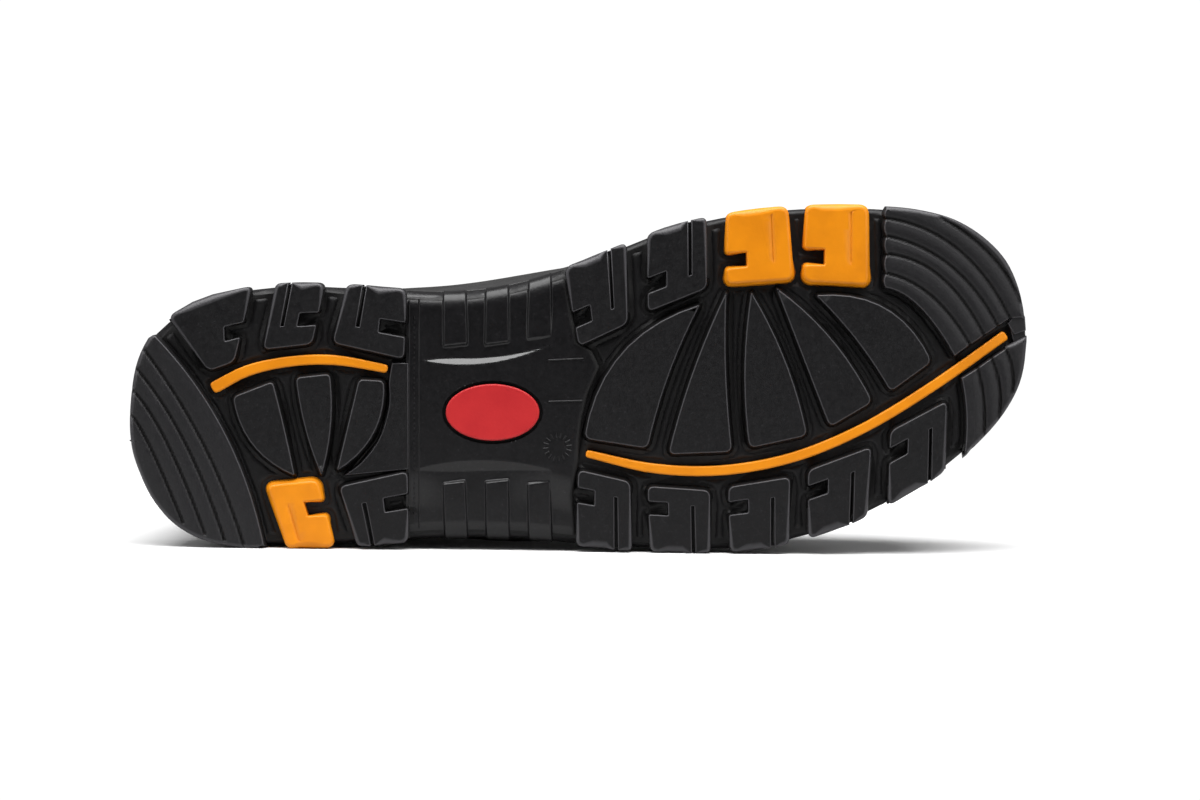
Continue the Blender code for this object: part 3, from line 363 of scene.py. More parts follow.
# Upper as in the solids: one row for each ring from the rim to the collar
UPPER_RINGS = table(
    "foot rise swell back_x back_z front_x front_z inner outer crown nose blunt",
    (1, -1, 0, 6, 33, 299, 34, 40, 40, 0.4, 4, 0.5),
    (1, 4, 0.6, 6, 38, 299, 38, 40, 40, 0.4, 4, 0.5),
    (0.8, 10, 1.2, 5, 45, 298, 46, 42.5, 42, 0.4, 5, 0.5),
    (0.55, 18, 0.8, 5.4, 53, 293, 53.5, 43, 41, 0.34, 4.2, 0.5),
    (0.34, 27, 0, 6.6, 61, 284, 59.5, 41.6, 39.5, 0.32, 3.8, 0.52),
    (0.16, 36, 0, 8.4, 69, 268, 64, 38.6, 38.2, 0.3, 3.8, 0.56),
    (0, 0, 0, 10.2, 77, 246, 67.5, 37.6, 37.4, 0.28, 3.2, 0.6),
    (0, 0, 0, 11.6, 85, 222, 72.5, 37, 37, 0.29, 3, 0.6),
    (0, 0, 0, 12.4, 94, 199, 80.5, 36.8, 36.8, 0.32, 2.8, 0.58),
    (0, 0, 0, 12.4, 104, 179, 92, 37.2, 37.2, 0.36, 2.6, 0.56),
    (0, 0, 0, 11.6, 116, 162, 107, 38.2, 38.2, 0.4, 2.4, 0.54),
    (0, 0, 0, 10.2, 129, 149, 124, 39.4, 39.4, 0.43, 2.2, 0.52),
    (0, 0, 0, 8.6, 142, 140, 142, 40.4, 40.4, 0.45, 2.1, 0.5),
    (0, 0, 0, 7.4, 153, 135, 158, 41, 41, 0.46, 2, 0.5),
)
HEEL_ROUND = 2.3
RING_STEP = 1.9

# Creases: place on the top line, turn from upright, slant across the foot, bow, width, depth and reach
CREASES = table(
    "x z turn slant bow width depth reach",
    (231, 69, 10, -0.05, 3, 3.4, 0.7, 24),
    (219, 73, 5, -0.05, 3.5, 3.2, 1.2, 28),
    (207, 77, 0, -0.05, 4, 3.4, 1, 28),
    (194, 82, -6, -0.04, 4, 3.8, 0.6, 24),
    (173, 96, 44, 0, -3, 4, 1.1, 24),
    (161, 108, 52, 0, -3, 4.2, 0.9, 24),
    (13, 98, 84, 0, -4, 5, 0.7, 26),
    (12, 112, 92, 0, -4, 5, 0.5, 26),
)
CREASE_HALF = 40.0
RIPPLE = 0.35
RIPPLE_FROM = (36.0, 60.0)
RIPPLE_TO = (-150.0, -130.0)

# Elastic panel let into both sides of the shaft, in x and z: outline, corner, depth, soft border and ribs
GORE = [(50, 175), (102, 175), (94, 104), (86, 90), (74, 88), (64, 98)]
GORE_CURVE = (9.0, 1.0)
GORE_DEPTH = 0.8
GORE_SOFT = 2.0
GORE_RIBS = 1.5
GORE_ASIDE = 10.0
GORE_BORDER = [(54.9, 148)] + GORE[:1:-1] + [(99, 148)]

# Seams and stitches: path, corner and step of its curve, width and height of its band, rows beside it
SIDE_SEAM = [(79, 86), (80, 60), (81, 34)]
SIDE_CURVE = (20.0, 1.2)
SIDE_BAND = (6.4, 0.6)
SIDE_ROWS = (-1.8, 1.8)
BACK_SEAM = [(0, 38), (0, 90), (0, 149)]
BACK_CURVE = (10.0, 1.5)
BACK_BAND = (12.0, 0.7)
BACK_ROWS = (-4.6, 4.6)
GORE_ROWS = (-1.8, -3.8)
BAND_PROFILE = [
    (-0.5, -0.25), (-0.47, 0.7), (-0.38, 1.0), (0.0, 1.05), (0.38, 1.0), (0.47, 0.7), (0.5, -0.25),
]
COLLAR_ROUND = 1.9
COLLAR_POINTS = 10
COLLAR_ROW = -4
STITCH_START = 0.4
STITCH_PITCH = 3.0
STITCH_LONG = 2.1
STITCH_THICK = 0.33
STITCH_PROFILE = [(0.0, 0.4, -0.5), (0.22, 1.0, 0.3), (0.78, 1.0, 0.3), (1.0, 0.4, -0.5)]
STITCH_SIDES = 6
RAY_BACK = -60.0
RAY_SIDE = 90.0
INSOLE_ACROSS = 18
INSOLE_SOFT = (1.4, 1.6)
INSOLE_CUP = (0.5, 2.0, 14.0)

# Camera: middle of the picture on the tread, distance, width of the picture there and angles
PICTURE_X = 160.0
PICTURE_Y = 5.4
CAMERA_DISTANCE = 1.6
PICTURE_WIDTH = 0.4077
CAMERA_ELEVATION = math.radians(3.2)
AXIS_SLOPE = math.radians(6.5)
SENSOR = 36.0

# Studio panels: place, size and power in watts; light from the white room; floor and its soft border
PANELS = table(
    "name x y z wide high power",
    ("top", 0, -0.25, 1.05, 1.6, 1, 31),
    ("left", -1.05, -0.62, 0.45, 0.8, 0.9, 4),
    ("right", 1.05, -0.62, 0.45, 0.8, 0.9, 4),
)
PANEL_AIM = Vector((0.0, 0.0, 0.05))
ROOM_TURN = 0.6
ROOM_FRONT = 0.05
ROOM_BACK = 0.15
BACKDROP = 1.05
FLOOR_REACH = 0.42
FLOOR_FADE = 0.2
FLOOR_WHITE = (0.95, 0.95, 0.95, 1.0)
FLOOR_BOUNCE = (0.5, 0.5, 0.5, 1.0)

# Rubber by depth under a block's face in cm: face, wall and grooves darkened as painted shade, web, and the
# lighter side; painted glints in its grain
RUBBER_FACE = (0.0068, 0.0065, 0.0073)
RUBBER_SHADE_BY_DEPTH = [
    (0.0, RUBBER_FACE), (0.05, RUBBER_FACE), (0.09, (0.004, 0.0036, 0.0037)),
    (0.3, (0.0026, 0.0023, 0.0023)), (0.34, (0.0075, 0.0072, 0.0078)), (0.38, (0.003, 0.0027, 0.0027)),
    (0.5, (0.009, 0.0087, 0.0095)), (0.7, RUBBER_FACE), (0.95, RUBBER_FACE), (1.0, (0.03, 0.0295, 0.03)),
]
PAINTED_GLINTS = [(0.45, 0.85), (0.66, 1.15), (0.8, 3.0)]


def boot_matrix():
    """From the boot's own frame in metres to the world."""
    mounts = {m["name"]: m for m in frame["record"]["mounts"]}
    heel, ball = (Vector(mounts[name]["pos_m"]) for name in ("heel_tread", "forefoot_tread"))
    x = (ball - heel).normalized()
    z = (-Vector(mounts["heel_tread"]["axis"])).normalized()
    y = z.cross(x).normalized()
    return Matrix.Translation(heel - x * HEEL_MOUNT_X * MM) @ Matrix((x, y, z)).transposed().to_4x4()


BOOT = boot_matrix()
TO_BOOT = BOOT.inverted()


def place(x, y, z):
    """World point of a place in the boot's frame; nothing goes through the floor."""
    point = BOOT @ Vector((x * MM, y * MM, z * MM))
    point.z = max(point.z, FLOOR_CLEAR)
    return point


def lift(x):
    """Height of the tread above the ground plane."""
    if x > SPRING_START:
        return TOE_SPRING * ((x - SPRING_START) / (SOLE_LENGTH - SPRING_START)) ** SPRING_POWER
    if x < BEVEL_START:
        return HEEL_BEVEL * ((BEVEL_START - x) / BEVEL_START) ** 2
    return 0.0


def ramp_up(value, low, high):
    """Smooth rise from 0 at low to 1 at high."""
    share = np.clip((value - low) / (high - low), 0.0, 1.0)
    return share * share * (3 - 2 * share)


def between(first, second, start, end, here):
    """Straight mix of the first at start and the second at end."""
    return first * (end - here) / (end - start) + second * (here - start) / (end - start)


def spline(points, knots, share):
    """Catmull-Rom point between the second and the third of four points."""
    here = knots[1] + (knots[2] - knots[1]) * share
    for span in (1, 2):
        points = [between(*points[i:i + 2], knots[i], knots[i + span], here) for i in range(4 - span)]
    return between(*points, knots[1], knots[2], here)


def smooth_rows(rows, step, measure=(0, 1), ghosts=None):
    """Rows of numbers filled in along a smooth curve; measure picks the columns that set the spacing."""
    rows = [np.array(row, dtype=float) for row in rows]
    before, after = ghosts or (2 * rows[0] - rows[1], 2 * rows[-1] - rows[-2])
    points = [before, *rows, after]
    filled = []
    for i in range(len(rows) - 1):
        four = points[i:i + 4]
        spans = [max(np.linalg.norm((b - a)[list(measure)]), 1e-6) for a, b in zip(four, four[1:])]
        knots = np.cumsum([0.0] + [math.sqrt(span) for span in spans])
        count = max(1, round(spans[1] / step))
        filled += [spline(four, knots, k / count) for k in range(count)]
    return filled + [rows[-1]]


def sole_stations():
    """The station table filled in; the ghost rows mirror the other side so that both ends stay round."""
    ghosts = [np.array(row, dtype=float) for row in (STATIONS[1], STATIONS[-2])]
    for ghost in ghosts:
        ghost[1:3] = -ghost[2:0:-1]
    return [STATIONS[0]._make(row) for row in smooth_rows(STATIONS, OUTLINE_STEP, ghosts=ghosts)]


SOLE = sole_stations()
INNER_EDGE = [Vector((row.x, -row.inner)) for row in SOLE]
OUTER_EDGE = [Vector((row.x, row.outer)) for row in SOLE]


def edge(x, side):
    """Distance from the axis to the tread's edge; side is 1 outside and -1 inside."""
    widths = [row.outer if side > 0 else row.inner for row in SOLE]
    return np.interp(x, [row.x for row in SOLE], widths)


def around(inner, outer):
    """One closed loop from two equal lists that run from heel to toe and share their end points."""
    return inner + outer[-2:0:-1]


def foot_plan(inset):
    """Outline inside the rim, as equal inner and outer lists of points from heel to toe."""
    loop = around(INNER_EDGE, OUTER_EDGE)
    lean = around([row.inner_lean for row in SOLE], [row.outer_lean for row in SOLE])
    plan = []
    for i, point in enumerate(loop):
        along = (loop[(i + 1) % len(loop)] - loop[i - 1]).normalized()
        plan.append(point - Vector((along.y, -along.x)) * (inset + lean[i]))
    half = len(SOLE)
    return plan[:half], [plan[0]] + plan[:half - 2:-1]


def add_node(tree, kind, links, **values):
    """New shader node with its settings, its sockets linked to others or set to values."""
    made = tree.nodes.new("ShaderNode" + kind)
    for key, value in values.items():
        setattr(made, key, value)
    for socket, source in links.items():
        if isinstance(source, bpy.types.NodeSocket):
            tree.links.new(source, made.inputs[socket])
        else:
            made.inputs[socket].default_value = source
    return made


class Look:
    """One material in the making, with short calls for the nodes it needs; sizes are in millimetres."""

    def __init__(self, name, specular, roughness=0.5):
        self.material = bpy.data.materials.new(name)
        self.material.use_nodes = True
        self.tree = self.material.node_tree
        self.shader = self.tree.nodes["Principled BSDF"]
        self.shader.inputs["Specular IOR Level"].default_value = specular
        self.shader.inputs["Roughness"].default_value = roughness
        self.point = self.node("TexCoord", "Object", {})

    def node(self, kind, output, links, **values):
        return add_node(self.tree, kind, links, **values).outputs[output]

    def noise(self, size, detail):
        links = {"Vector": self.point, "Scale": 1 / MM / size, "Detail": detail}
        return self.node("TexNoise", "Fac", links)

    def cells(self, size, feature="F1"):
        links = {"Vector": self.point, "Scale": 1 / MM / size}
        return self.node("TexVoronoi", "Distance", links, feature=feature)

    def waves(self, size, direction):
        links = {"Vector": self.point, "Scale": 314.16 / size, "Distortion": 0.4}
        return self.node("TexWave", "Fac", links, bands_direction=direction)

    def attribute(self, name):
        return self.node("Attribute", "Fac", {}, attribute_name=name)

    def maths(self, operation, first, second):
        return self.node("Math", 0, {0: first, 1: second}, operation=operation)

    def ramp(self, value, stops):
        """Colour or grey that follows a value through the given stops."""
        made = add_node(self.tree, "ValToRGB", {"Fac": value})
        points = made.color_ramp.elements
        while len(points) < len(stops):
            points.new(0.5)
        for point, (position, colour) in zip(points, stops):
            point.position = position
            point.color = (*colour, 1.0) if isinstance(colour, tuple) else (colour, colour, colour, 1.0)
        return made.outputs["Color"]

    def mottle(self, size, detail, *stops):
        return self.ramp(self.noise(size, detail), stops)

    def mix(self, share, first, second, blend="MIX"):
        links = {"Factor": share, 6: first, 7: second}
        return self.node("Mix", 2, links, data_type="RGBA", blend_type=blend)

    def bump(self, height, distance, below=None):
        """Normal of a relief with this height, laid over another one."""
        links = {"Height": height, "Distance": distance * MM, "Strength": 1.0}
        if below:
            links["Normal"] = below
        return self.node("Bump", "Normal", links)

    def feed(self, **sources):
        for socket, source in sources.items():
            self.tree.links.new(source, self.shader.inputs[socket.replace("_", " ")])
        return self.material


def rubber_look():
    """Black moulded rubber: fine grain on the tread, walls and grooves darkened as painted shade, painted
    glints, and edges lightened for wear and as painted highlight lines.
    """
    look = Look("rubber", 0.28)
    # Walls, grooves and moats darkened by depth as painted shade
    depth = look.maths("DIVIDE", look.attribute("depth"), 10.0)
    # Rounded edges lightened for wear and as painted highlight lines
    wear_and_highlight = look.attribute("edge")
    colour = look.ramp(depth, RUBBER_SHADE_BY_DEPTH)
    colour = look.mix(1.0, colour, look.mottle(6.0, 4.0, (0.3, 0.86), (0.7, 1.12)), "MULTIPLY")
    # Painted glints in the grain
    colour = look.mix(1.0, colour, look.mottle(0.9, 2.0, *PAINTED_GLINTS), "MULTIPLY")
    colour = look.mix(wear_and_highlight, colour, (0.065, 0.063, 0.068, 1.0))
    grained = look.ramp(depth, [(0.0, 1.0), (0.06, 1.0), (0.1, 0.15)])
    grain = look.maths("MULTIPLY", look.noise(0.8, 2.0), grained)
    rough = look.mix(wear_and_highlight, look.mottle(1.6, 3.0, (0.35, 0.42), (0.65, 0.54)), (0.3, 0.3, 0.3, 1.0))
    return look.feed(Base_Color=colour, Normal=look.bump(grain, 0.07), Roughness=rough)


def waist_look():
    """The same rubber where it is smoother and glossier, between heel and forefoot, with painted glints and
    its front border painted near black as shade.
    """
    look = Look("waist_rubber", 0.4)
    # The front border is painted near black as shade
    dark = look.attribute("dark")
    tone = look.mottle(5.0, 4.0, (0.3, (0.0055, 0.0052, 0.0059)), (0.7, (0.0079, 0.0075, 0.0084)))
    # Painted glints in the grain
    tone = look.mix(1.0, tone, look.mottle(0.9, 2.0, *PAINTED_GLINTS), "MULTIPLY")
    colour = look.mix(dark, tone, (0.0022, 0.002, 0.002, 1.0))
    rough = look.mix(dark, look.mottle(1.4, 3.0, (0.35, 0.28), (0.65, 0.36)), (0.7, 0.7, 0.7, 1.0))
    return look.feed(Base_Color=colour, Normal=look.bump(look.noise(0.7, 2.0), 0.018), Roughness=rough)


def ledge_look():
    """Rubber polished to a shine on the slope above the badge."""
    look = Look("polished_rubber", 0.75)
    colour = look.mottle(5.0, 4.0, (0.3, (0.005, 0.005, 0.0055)), (0.7, (0.007, 0.007, 0.0075)))
    rough = look.mottle(2.0, 3.0, (0.35, 0.12), (0.65, 0.2))
    return look.feed(Base_Color=colour, Normal=look.bump(look.noise(0.9, 2.0), 0.006), Roughness=rough)


def moulded_look(name, colour, dark, roughness):
    """Coloured moulding with slight flow marks and a soft gloss."""
    look = Look(name, 0.32, roughness)
    tone = look.mottle(9.0, 3.0, (0.3, dark), (0.6, colour))
    return look.feed(Base_Color=tone, Normal=look.bump(look.noise(1.1, 3.0), 0.05))


def leather_look():
    """Dark full-grain leather with pebbled cells and rubbed places, and ribbed cloth in the side panels."""
    look = Look("leather", 0.45)
    elastic = look.attribute("elastic")
    tone = look.mottle(26.0, 5.0, (0.3, (0.012, 0.0118, 0.012)), (0.7, (0.024, 0.0235, 0.0235)))
    pores = look.ramp(look.cells(1.1), [(0.0, 0.7), (0.5, 1.1)])
    colour = look.mix(elastic, look.mix(1.0, tone, pores, "MULTIPLY"), (0.009, 0.009, 0.0095, 1.0))
    relief = look.bump(look.cells(1.3, "DISTANCE_TO_EDGE"), 0.16)
    relief = look.bump(look.noise(5.0, 5.0), 0.3, relief)
    ribs = look.maths("PINGPONG", look.attribute("along"), GORE_RIBS / 2)
    relief = look.bump(look.maths("MULTIPLY", ribs, elastic), 0.25, relief)
    rough = look.mix(elastic, look.mottle(12.0, 5.0, (0.3, 0.38), (0.7, 0.6)), (0.85, 0.85, 0.85, 1.0))
    return look.feed(Base_Color=colour, Normal=relief, Roughness=rough)


def cloth_look(name, colour, light, pitch, relief):
    """Woven or felted cloth with crossed threads."""
    look = Look(name, 0.2, 0.95)
    threads = look.maths("MULTIPLY", look.waves(pitch, "X"), look.waves(pitch, "Y"))
    threads = look.maths("MULTIPLY", threads, 0.5)
    fleck = look.maths("ADD", threads, look.maths("MULTIPLY", look.noise(2.0, 4.0), 0.7))
    tone = look.ramp(fleck, [(0.3, colour), (0.8, light)])
    return look.feed(Base_Color=tone, Normal=look.bump(fleck, relief))


def thread_look():
    """Waxed thread with a twist."""
    look = Look("thread", 0.35, 0.55)
    colour = look.mottle(1.0, 2.0, (0.3, (0.03, 0.029, 0.028)), (0.7, (0.055, 0.053, 0.05)))
    return look.feed(Base_Color=colour, Normal=look.bump(look.waves(0.5, "DIAGONAL"), 0.08))


def add_object(name, data):
    item = bpy.data.objects.new(name, data)
    bpy.context.scene.collection.objects.link(item)
    return item


def finish_piece(item, material, nodes=()):
    """Give a piece its material and let it ride on the boot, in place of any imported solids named."""
    item.data.materials.append(material)
    if nodes:
        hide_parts(*nodes)
    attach(item, "root")
    return item


def new_piece(name, points, faces, material, nodes=(), **layers):
    """Smooth piece from points in the boot's frame, with the values at its points that its material reads."""
    mesh = bpy.data.meshes.new(name)
    mesh.from_pydata([place(*p) for p in points], [], faces)
    mesh.shade_smooth()
    for label, values in layers.items():
        mesh.attributes.new(label, "FLOAT", "POINT").data.foreach_set("value", values)
    return finish_piece(add_object(name, mesh), material, nodes)


def grid_piece(name, grid, material, nodes=(), closed=False, inwards=False, **layers):
    """Piece from a grid of points in rows."""
    faces = grid_faces(*grid.shape[:2], closed)
    if inwards:
        faces = [face[::-1] for face in faces]
    return new_piece(name, grid.reshape(-1, 3).tolist(), faces, material, nodes, **layers)


def grid_faces(rows, columns, closed=False):
    """Quads of a grid of points stored row by row; closed joins the last column to the first."""
    spans = [(j, (j + 1) % columns) for j in range(columns if closed else columns - 1)]
    starts = range(0, (rows - 1) * columns, columns)
    return [(i + j, i + k, i + columns + k, i + columns + j) for i in starts for j, k in spans]


def joined(meshes):
    """Several meshes as one: points, faces and the lists of values that they carry."""
    lists = [[] for _ in meshes[0]]
    for points, faces, *values in meshes:
        start = len(lists[0])
        shifted = [[i + start for i in face] for face in faces]
        for whole, part in zip(lists, (points, shifted, *values)):
            whole.extend(part)
    return lists


def stepped(path, step):
    """Points in even steps along a path, without its last one."""
    points = []
    for a, b in zip(path, path[1:]):
        count = max(1, round((b - a).length / step))
        points += [a.lerp(b, k / count) for k in range(count)]
    return points


def inside_all(xs, ys, path):
    """Which of many places lie inside a closed path."""
    inside = np.zeros(len(xs), dtype=bool)
    for a, b in zip(path, path[1:] + path[:1]):
        if a.y != b.y:
            crossed = (a.y > ys) != (b.y > ys)
            inside ^= crossed & (xs < a.x + (b.x - a.x) * (ys - a.y) / (b.y - a.y))
    return inside


def nearest(points):
    """Search for the nearest of some places in plan."""
    tree = KDTree(len(points))
    for i, point in enumerate(points):
        tree.insert((point[0], point[1], 0.0), i)
    tree.balance()
    return tree


def left_of(path, i):
    """Direction to the left of a path at one of its points."""
    along = (path[min(i + 1, len(path) - 1)] - path[max(i - 1, 0)]).normalized()
    return Vector((-along.y, along.x))


def arc(start, pull, end, count):
    """Points of a curve from start to end that leans towards a third point."""
    shares = [k / count for k in range(count + 1)]
    return [start * (1 - s) ** 2 + pull * 2 * s * (1 - s) + end * s * s for s in shares]


def bowed(start, end, bow, count):
    """Points from start to end on an arc that bows to the right of its direction."""
    start, end = Vector(start), Vector(end)
    along = (end - start).normalized()
    return arc(start, (start + end) / 2 + Vector((along.y, -along.x)) * bow * 2, end, count)


def rounded_corner(before, corner, after, radius, count, most=0.45):
    """Short curve that takes the place of a corner, up to a share of its sides, or the sharp corner."""
    before, corner, after = Vector(before), Vector(corner), Vector(after)
    radius = min(radius, (before - corner).length * most, (after - corner).length * most)
    if radius < SHARP_CORNER:
        return [corner]
    start = corner + (before - corner).normalized() * radius
    end = corner + (after - corner).normalized() * radius
    return arc(start, corner, end, count)


def rounded_loop(sharp, radii, count):
    """The curve that takes the place of each corner of a closed outline."""
    trios = zip(sharp[-1:] + sharp[:-1], sharp, sharp[1:] + sharp[:1])
    return [rounded_corner(*trio, radius, count) for trio, radius in zip(trios, radii)]


def rounded_path(points, radius, step):
    """Path with its inner corners rounded, as points about one step apart."""
    path = [Vector(points[0])]
    for trio in zip(points, points[1:], points[2:]):
        path += rounded_corner(*trio, radius, 6, 0.48)
    path.append(Vector(points[-1]))
    lengths = np.cumsum([0.0] + [(b - a).length for a, b in zip(path, path[1:])])
    stops = np.linspace(0.0, lengths[-1], max(2, int(lengths[-1] / step)) + 1)
    columns = [np.interp(stops, lengths, [p[axis] for p in path]) for axis in range(2)]
    return [Vector(spot) for spot in zip(*columns)]


def on_ribs(x, y):
    """Whether a place lies on the ribbed heel or toe."""
    heel, toe = (np.interp(y, line[1::2], line[0::2]) for line in (HEEL_RIBS[0], TOE_RIBS[0]))
    if y > TOE_RIBS[0].y3:
        toe = TOE_OUTER_RIBS[0].x3
    return x < heel or x > toe


def sunk(point, outside, border):
    """Place of an outsole point after its blocks, bands and shoulders make room for the rounded ones."""
    depth = point.z - lift(point.x)
    if depth > SIDE_LEVEL:
        return point
    x, y = point.x, point.y
    if outside:
        middle, along, across = INWARDS
        near = border.find((x, y, 0.0))[0]
        x, y = near.x + (middle - near.x) * along, near.y * across
    on_plate = HEEL_PLATE_REAR[-1][0] - 1 < point.x < HEEL_PLATE_FRONT[1][0] + 1
    on_plate = on_plate and abs(depth - HEEL_PLATE_LEVEL) < PLATE_SLACK
    room = PLATE_SINK if on_plate or on_ribs(point.x, point.y) else BLOCK_SINK
    if WAIST_FACE < depth < WAIST_SINK and CHANNEL_REAR - 3 < point.x < WAIST_FRONT[3][0]:
        room = WAIST_SINK
    return Vector((x, y, lift(x) + max(depth, room)))


def make_outsole(material):
    """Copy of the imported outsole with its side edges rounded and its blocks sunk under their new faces."""
    builder = bmesh.new()
    builder.from_mesh(frame["nodes"]["outsole"].data)
    depth_layer = builder.verts.layers.float.new("depth")
    bmesh.ops.remove_doubles(builder, verts=builder.verts, dist=MERGE)
    bmesh.ops.transform(builder, matrix=Matrix.Scale(1 / MM, 4) @ TO_BOOT, verts=builder.verts)
    sharp = []
    for item in builder.edges:
        deep = all(v.co.z - lift(v.co.x) > SIDE_LEVEL for v in item.verts)
        if deep and item.is_manifold and item.is_convex and item.calc_face_angle() > SIDE_SHARP:
            sharp.append(item)
    width, segments = SIDE_EDGE
    bmesh.ops.bevel(builder, geom=sharp, offset=width, offset_type="OFFSET", segments=segments, profile=0.5,
                    affect="EDGES", clamp_overlap=True)
    loop = around(INNER_EDGE, OUTER_EDGE)
    loop = stepped(loop + loop[:1], RIB_STEP)
    border = nearest(loop)
    spots = np.array([v.co for v in builder.verts])
    for vertex, within in zip(builder.verts, inside_all(spots[:, 0], spots[:, 1], loop)):
        away = border.find((vertex.co.x, vertex.co.y, 0.0))[2]
        vertex.co = sunk(vertex.co, not within and away > EDGE_SLACK, border)
        vertex[depth_layer] = vertex.co.z - lift(vertex.co.x)
        vertex.co = place(*vertex.co)
    mesh = bpy.data.meshes.new("outsole_body")
    builder.to_mesh(mesh)
    builder.free()
    mesh.shade_smooth()
    mesh.set_sharp_from_angle(angle=SMOOTH_ANGLE)
    item = add_object("outsole_body", mesh)
    item.modifiers.new("normals", "WEIGHTED_NORMAL").keep_sharp = True
    finish_piece(item, material, ("outsole",))


# Block seen from below: outline, flare of the wall, rounding of the edge, and which points lie on the rim
Form = namedtuple("Form", "points flares roundings rims")


def even_form(points, flare, rounding):
    """Form with the same wall and edge all round."""
    count = len(points)
    return Form(points, [flare] * count, [rounding] * count, [False] * count)


def lug_point(lug, along, across):
    """A point of the block: along runs from rear to front, across from the inner end to the edge."""
    inner = Vector((lug.rear_x, lug.rear_y)).lerp(Vector((lug.front_x, lug.front_y)), along)
    x = lug.rear + (lug.front - lug.rear) * along
    point = inner.lerp(Vector((x, edge(x, lug.side) + LUG_PROUD[lug.side])), across)
    return Vector((point.x, point.y * lug.side))


def slit_sides(lug, width):
    """Where a slit of this width begins and ends, in shares of the lug's length."""
    half = width / 2 / (lug.front - lug.rear)
    return MOTIFS[lug.motif].slit_at - half, MOTIFS[lug.motif].slit_at + half


def lug_rim(lug, slit):
    """Corners of the lug along the sole's edge, with the mouth and the end of its slit."""
    rim = [((share, 1.0), "crest" if 0.0 < share < 1.0 else "rim") for share in RIM_SHARES]
    if not slit:
        return rim
    low, high = slit_sides(lug, SLIT_WIDTH)
    end = MOTIFS[lug.motif].slit_from
    cut = [((low, 1.0), "slit_mouth"), ((low, end), "slit_end"), ((high, end), "slit_end"),
           ((high, 1.0), "slit_mouth")]
    before = [spot for spot in rim if spot[0][0] < low - RIM_CLEAR]
    return before + cut + [spot for spot in rim if spot[0][0] > high + RIM_CLEAR]


def lug_outline(lug, corners, slit):
    """Form of a lug with its notch and slit."""
    motif = MOTIFS[lug.motif]
    low, high, reach = motif.notch_from, motif.notch_to, motif.notch_reach
    notch = [((0.0, low), "mouth"), ((reach, low), "root"), ((reach, high), "root"), ((0.0, high), "mouth")]
    spots = notch + lug_rim(lug, slit)
    if motif.notch_in_front:
        turned = [((1.0 - along, across), kind) for (along, across), kind in reversed(notch)]
        spots = lug_rim(lug, slit) + turned
    spots = [((0.0, 0.0), "end")] + spots + [((1.0, 0.0), "end")]
    sharp = [lug_point(lug, *spot) for spot, kind in spots]
    form = Form([], [], [], [])
    curves = rounded_loop(sharp, [corners[kind].radius for spot, kind in spots], 6)
    for (spot, kind), curve in zip(spots, curves):
        values = (corners[kind].flare, corners[kind].rounding, spot[1] == 1.0)
        form.points.extend(curve)
        for column, value in zip(form[1:], values):
            column.extend([value] * len(curve))
    return form


def slit_floor(lug):
    """Form of the rubber left at the bottom of a lug's slit."""
    low, high = slit_sides(lug, 2 * SLIT_WIDTH)
    end = MOTIFS[lug.motif].slit_from
    points = [lug_point(lug, *spot) for spot in ((low, end), (low, SLIT_RIM), (high, SLIT_RIM), (high, end))]
    return Form(points, [0.0] * 4, [0.3] * 4, [False, True, True, False])


def pad_outline(pad):
    """Form of a fan pad with its bowed sides and rounded corners."""
    tip, rear, front = pad[0:2], pad[2:4], pad[4:6]
    turn = -1 if pad.rear_y > pad.tip_y else 1
    sharp = bowed(tip, rear, pad.rear_bow * turn, PAD_STEPS)
    sharp += bowed(front, tip, pad.front_bow * turn, PAD_STEPS)[:-1]
    radii = {0: PAD_TIP, PAD_STEPS: PAD_CORNER, PAD_STEPS + 1: PAD_CORNER}
    curves = rounded_loop(sharp, [radii.get(i, 0.0) for i in range(len(sharp))], 5)
    return even_form(sum(curves, []), PAD_FLARE, PAD_ROUNDING)


def strip_outline(rows, corner):
    """Form of a ribbon along a smooth centre line with rounded ends."""
    line = smooth_rows(rows, STRIP_STEP)
    centre = [Vector(row[:2]) for row in line]
    sides = [left_of(centre, i) * row[2] / 2 for i, row in enumerate(line)]
    left = [point + side for point, side in zip(centre, sides)]
    right = [point - side for point, side in zip(centre, sides)]
    inner = [0.0] * (len(line) - 2)
    curves = rounded_loop(left + right[::-1], [corner, *inner, corner] * 2, 4)
    return even_form(sum(curves, []), 0.0, STRIP_ROUNDING)


def badge_outline():
    x, y, long, short, turn = BADGE
    turned = Matrix.Rotation(turn, 2)
    points = []
    for i in range(BADGE_POINTS):
        angle = math.tau * i / BADGE_POINTS
        points.append(turned @ Vector((long * math.cos(angle), short * math.sin(angle))) + Vector((x, y)))
    return even_form(points, 0.0, BADGE_ROUNDING)


def grown(points, distances):
    """Closed outline with each point moved across its own edges, outwards where positive."""
    area = sum(a.cross(b) for a, b in zip(points, points[1:] + points[:1]))
    turn = 1 if area > 0 else -1
    moved = []
    for i, point in enumerate(points):
        before = (point - points[i - 1]).normalized()
        after = (points[(i + 1) % len(points)] - point).normalized()
        along = (before + after).normalized()
        reach = distances[i] / max(along.dot(after), 0.6)
        moved.append(point + Vector((along.y, -along.x)) * reach * turn)
    return moved


def face_mesh(border, spacing, extra):
    """Points and triangles that fill a block's face, with inner points that let it bend."""
    spans = [(min(p[axis] for p in border), max(p[axis] for p in border)) for axis in range(2)]
    xs, ys = np.meshgrid(*(np.arange(low, high, spacing) for low, high in spans))
    xs = np.concatenate([xs.ravel(), [p.x for p in extra]])
    ys = np.concatenate([ys.ravel(), [p.y for p in extra]])
    room = [spacing * FACE_ROOM] * (len(xs) - len(extra)) + [EXTRA_ROOM] * len(extra)
    near = nearest(border)
    inner = []
    for x, y, least, within in zip(xs, ys, room, inside_all(xs, ys, border)):
        if within and near.find((x, y, 0.0))[2] > least:
            inner.append(Vector((x, y)))
    count = len(border)
    loop = [(i, (i + 1) % count) for i in range(count)]
    return delaunay_2d_cdt(border + inner, loop, [], 1, 1e-5)[0::2][:2]


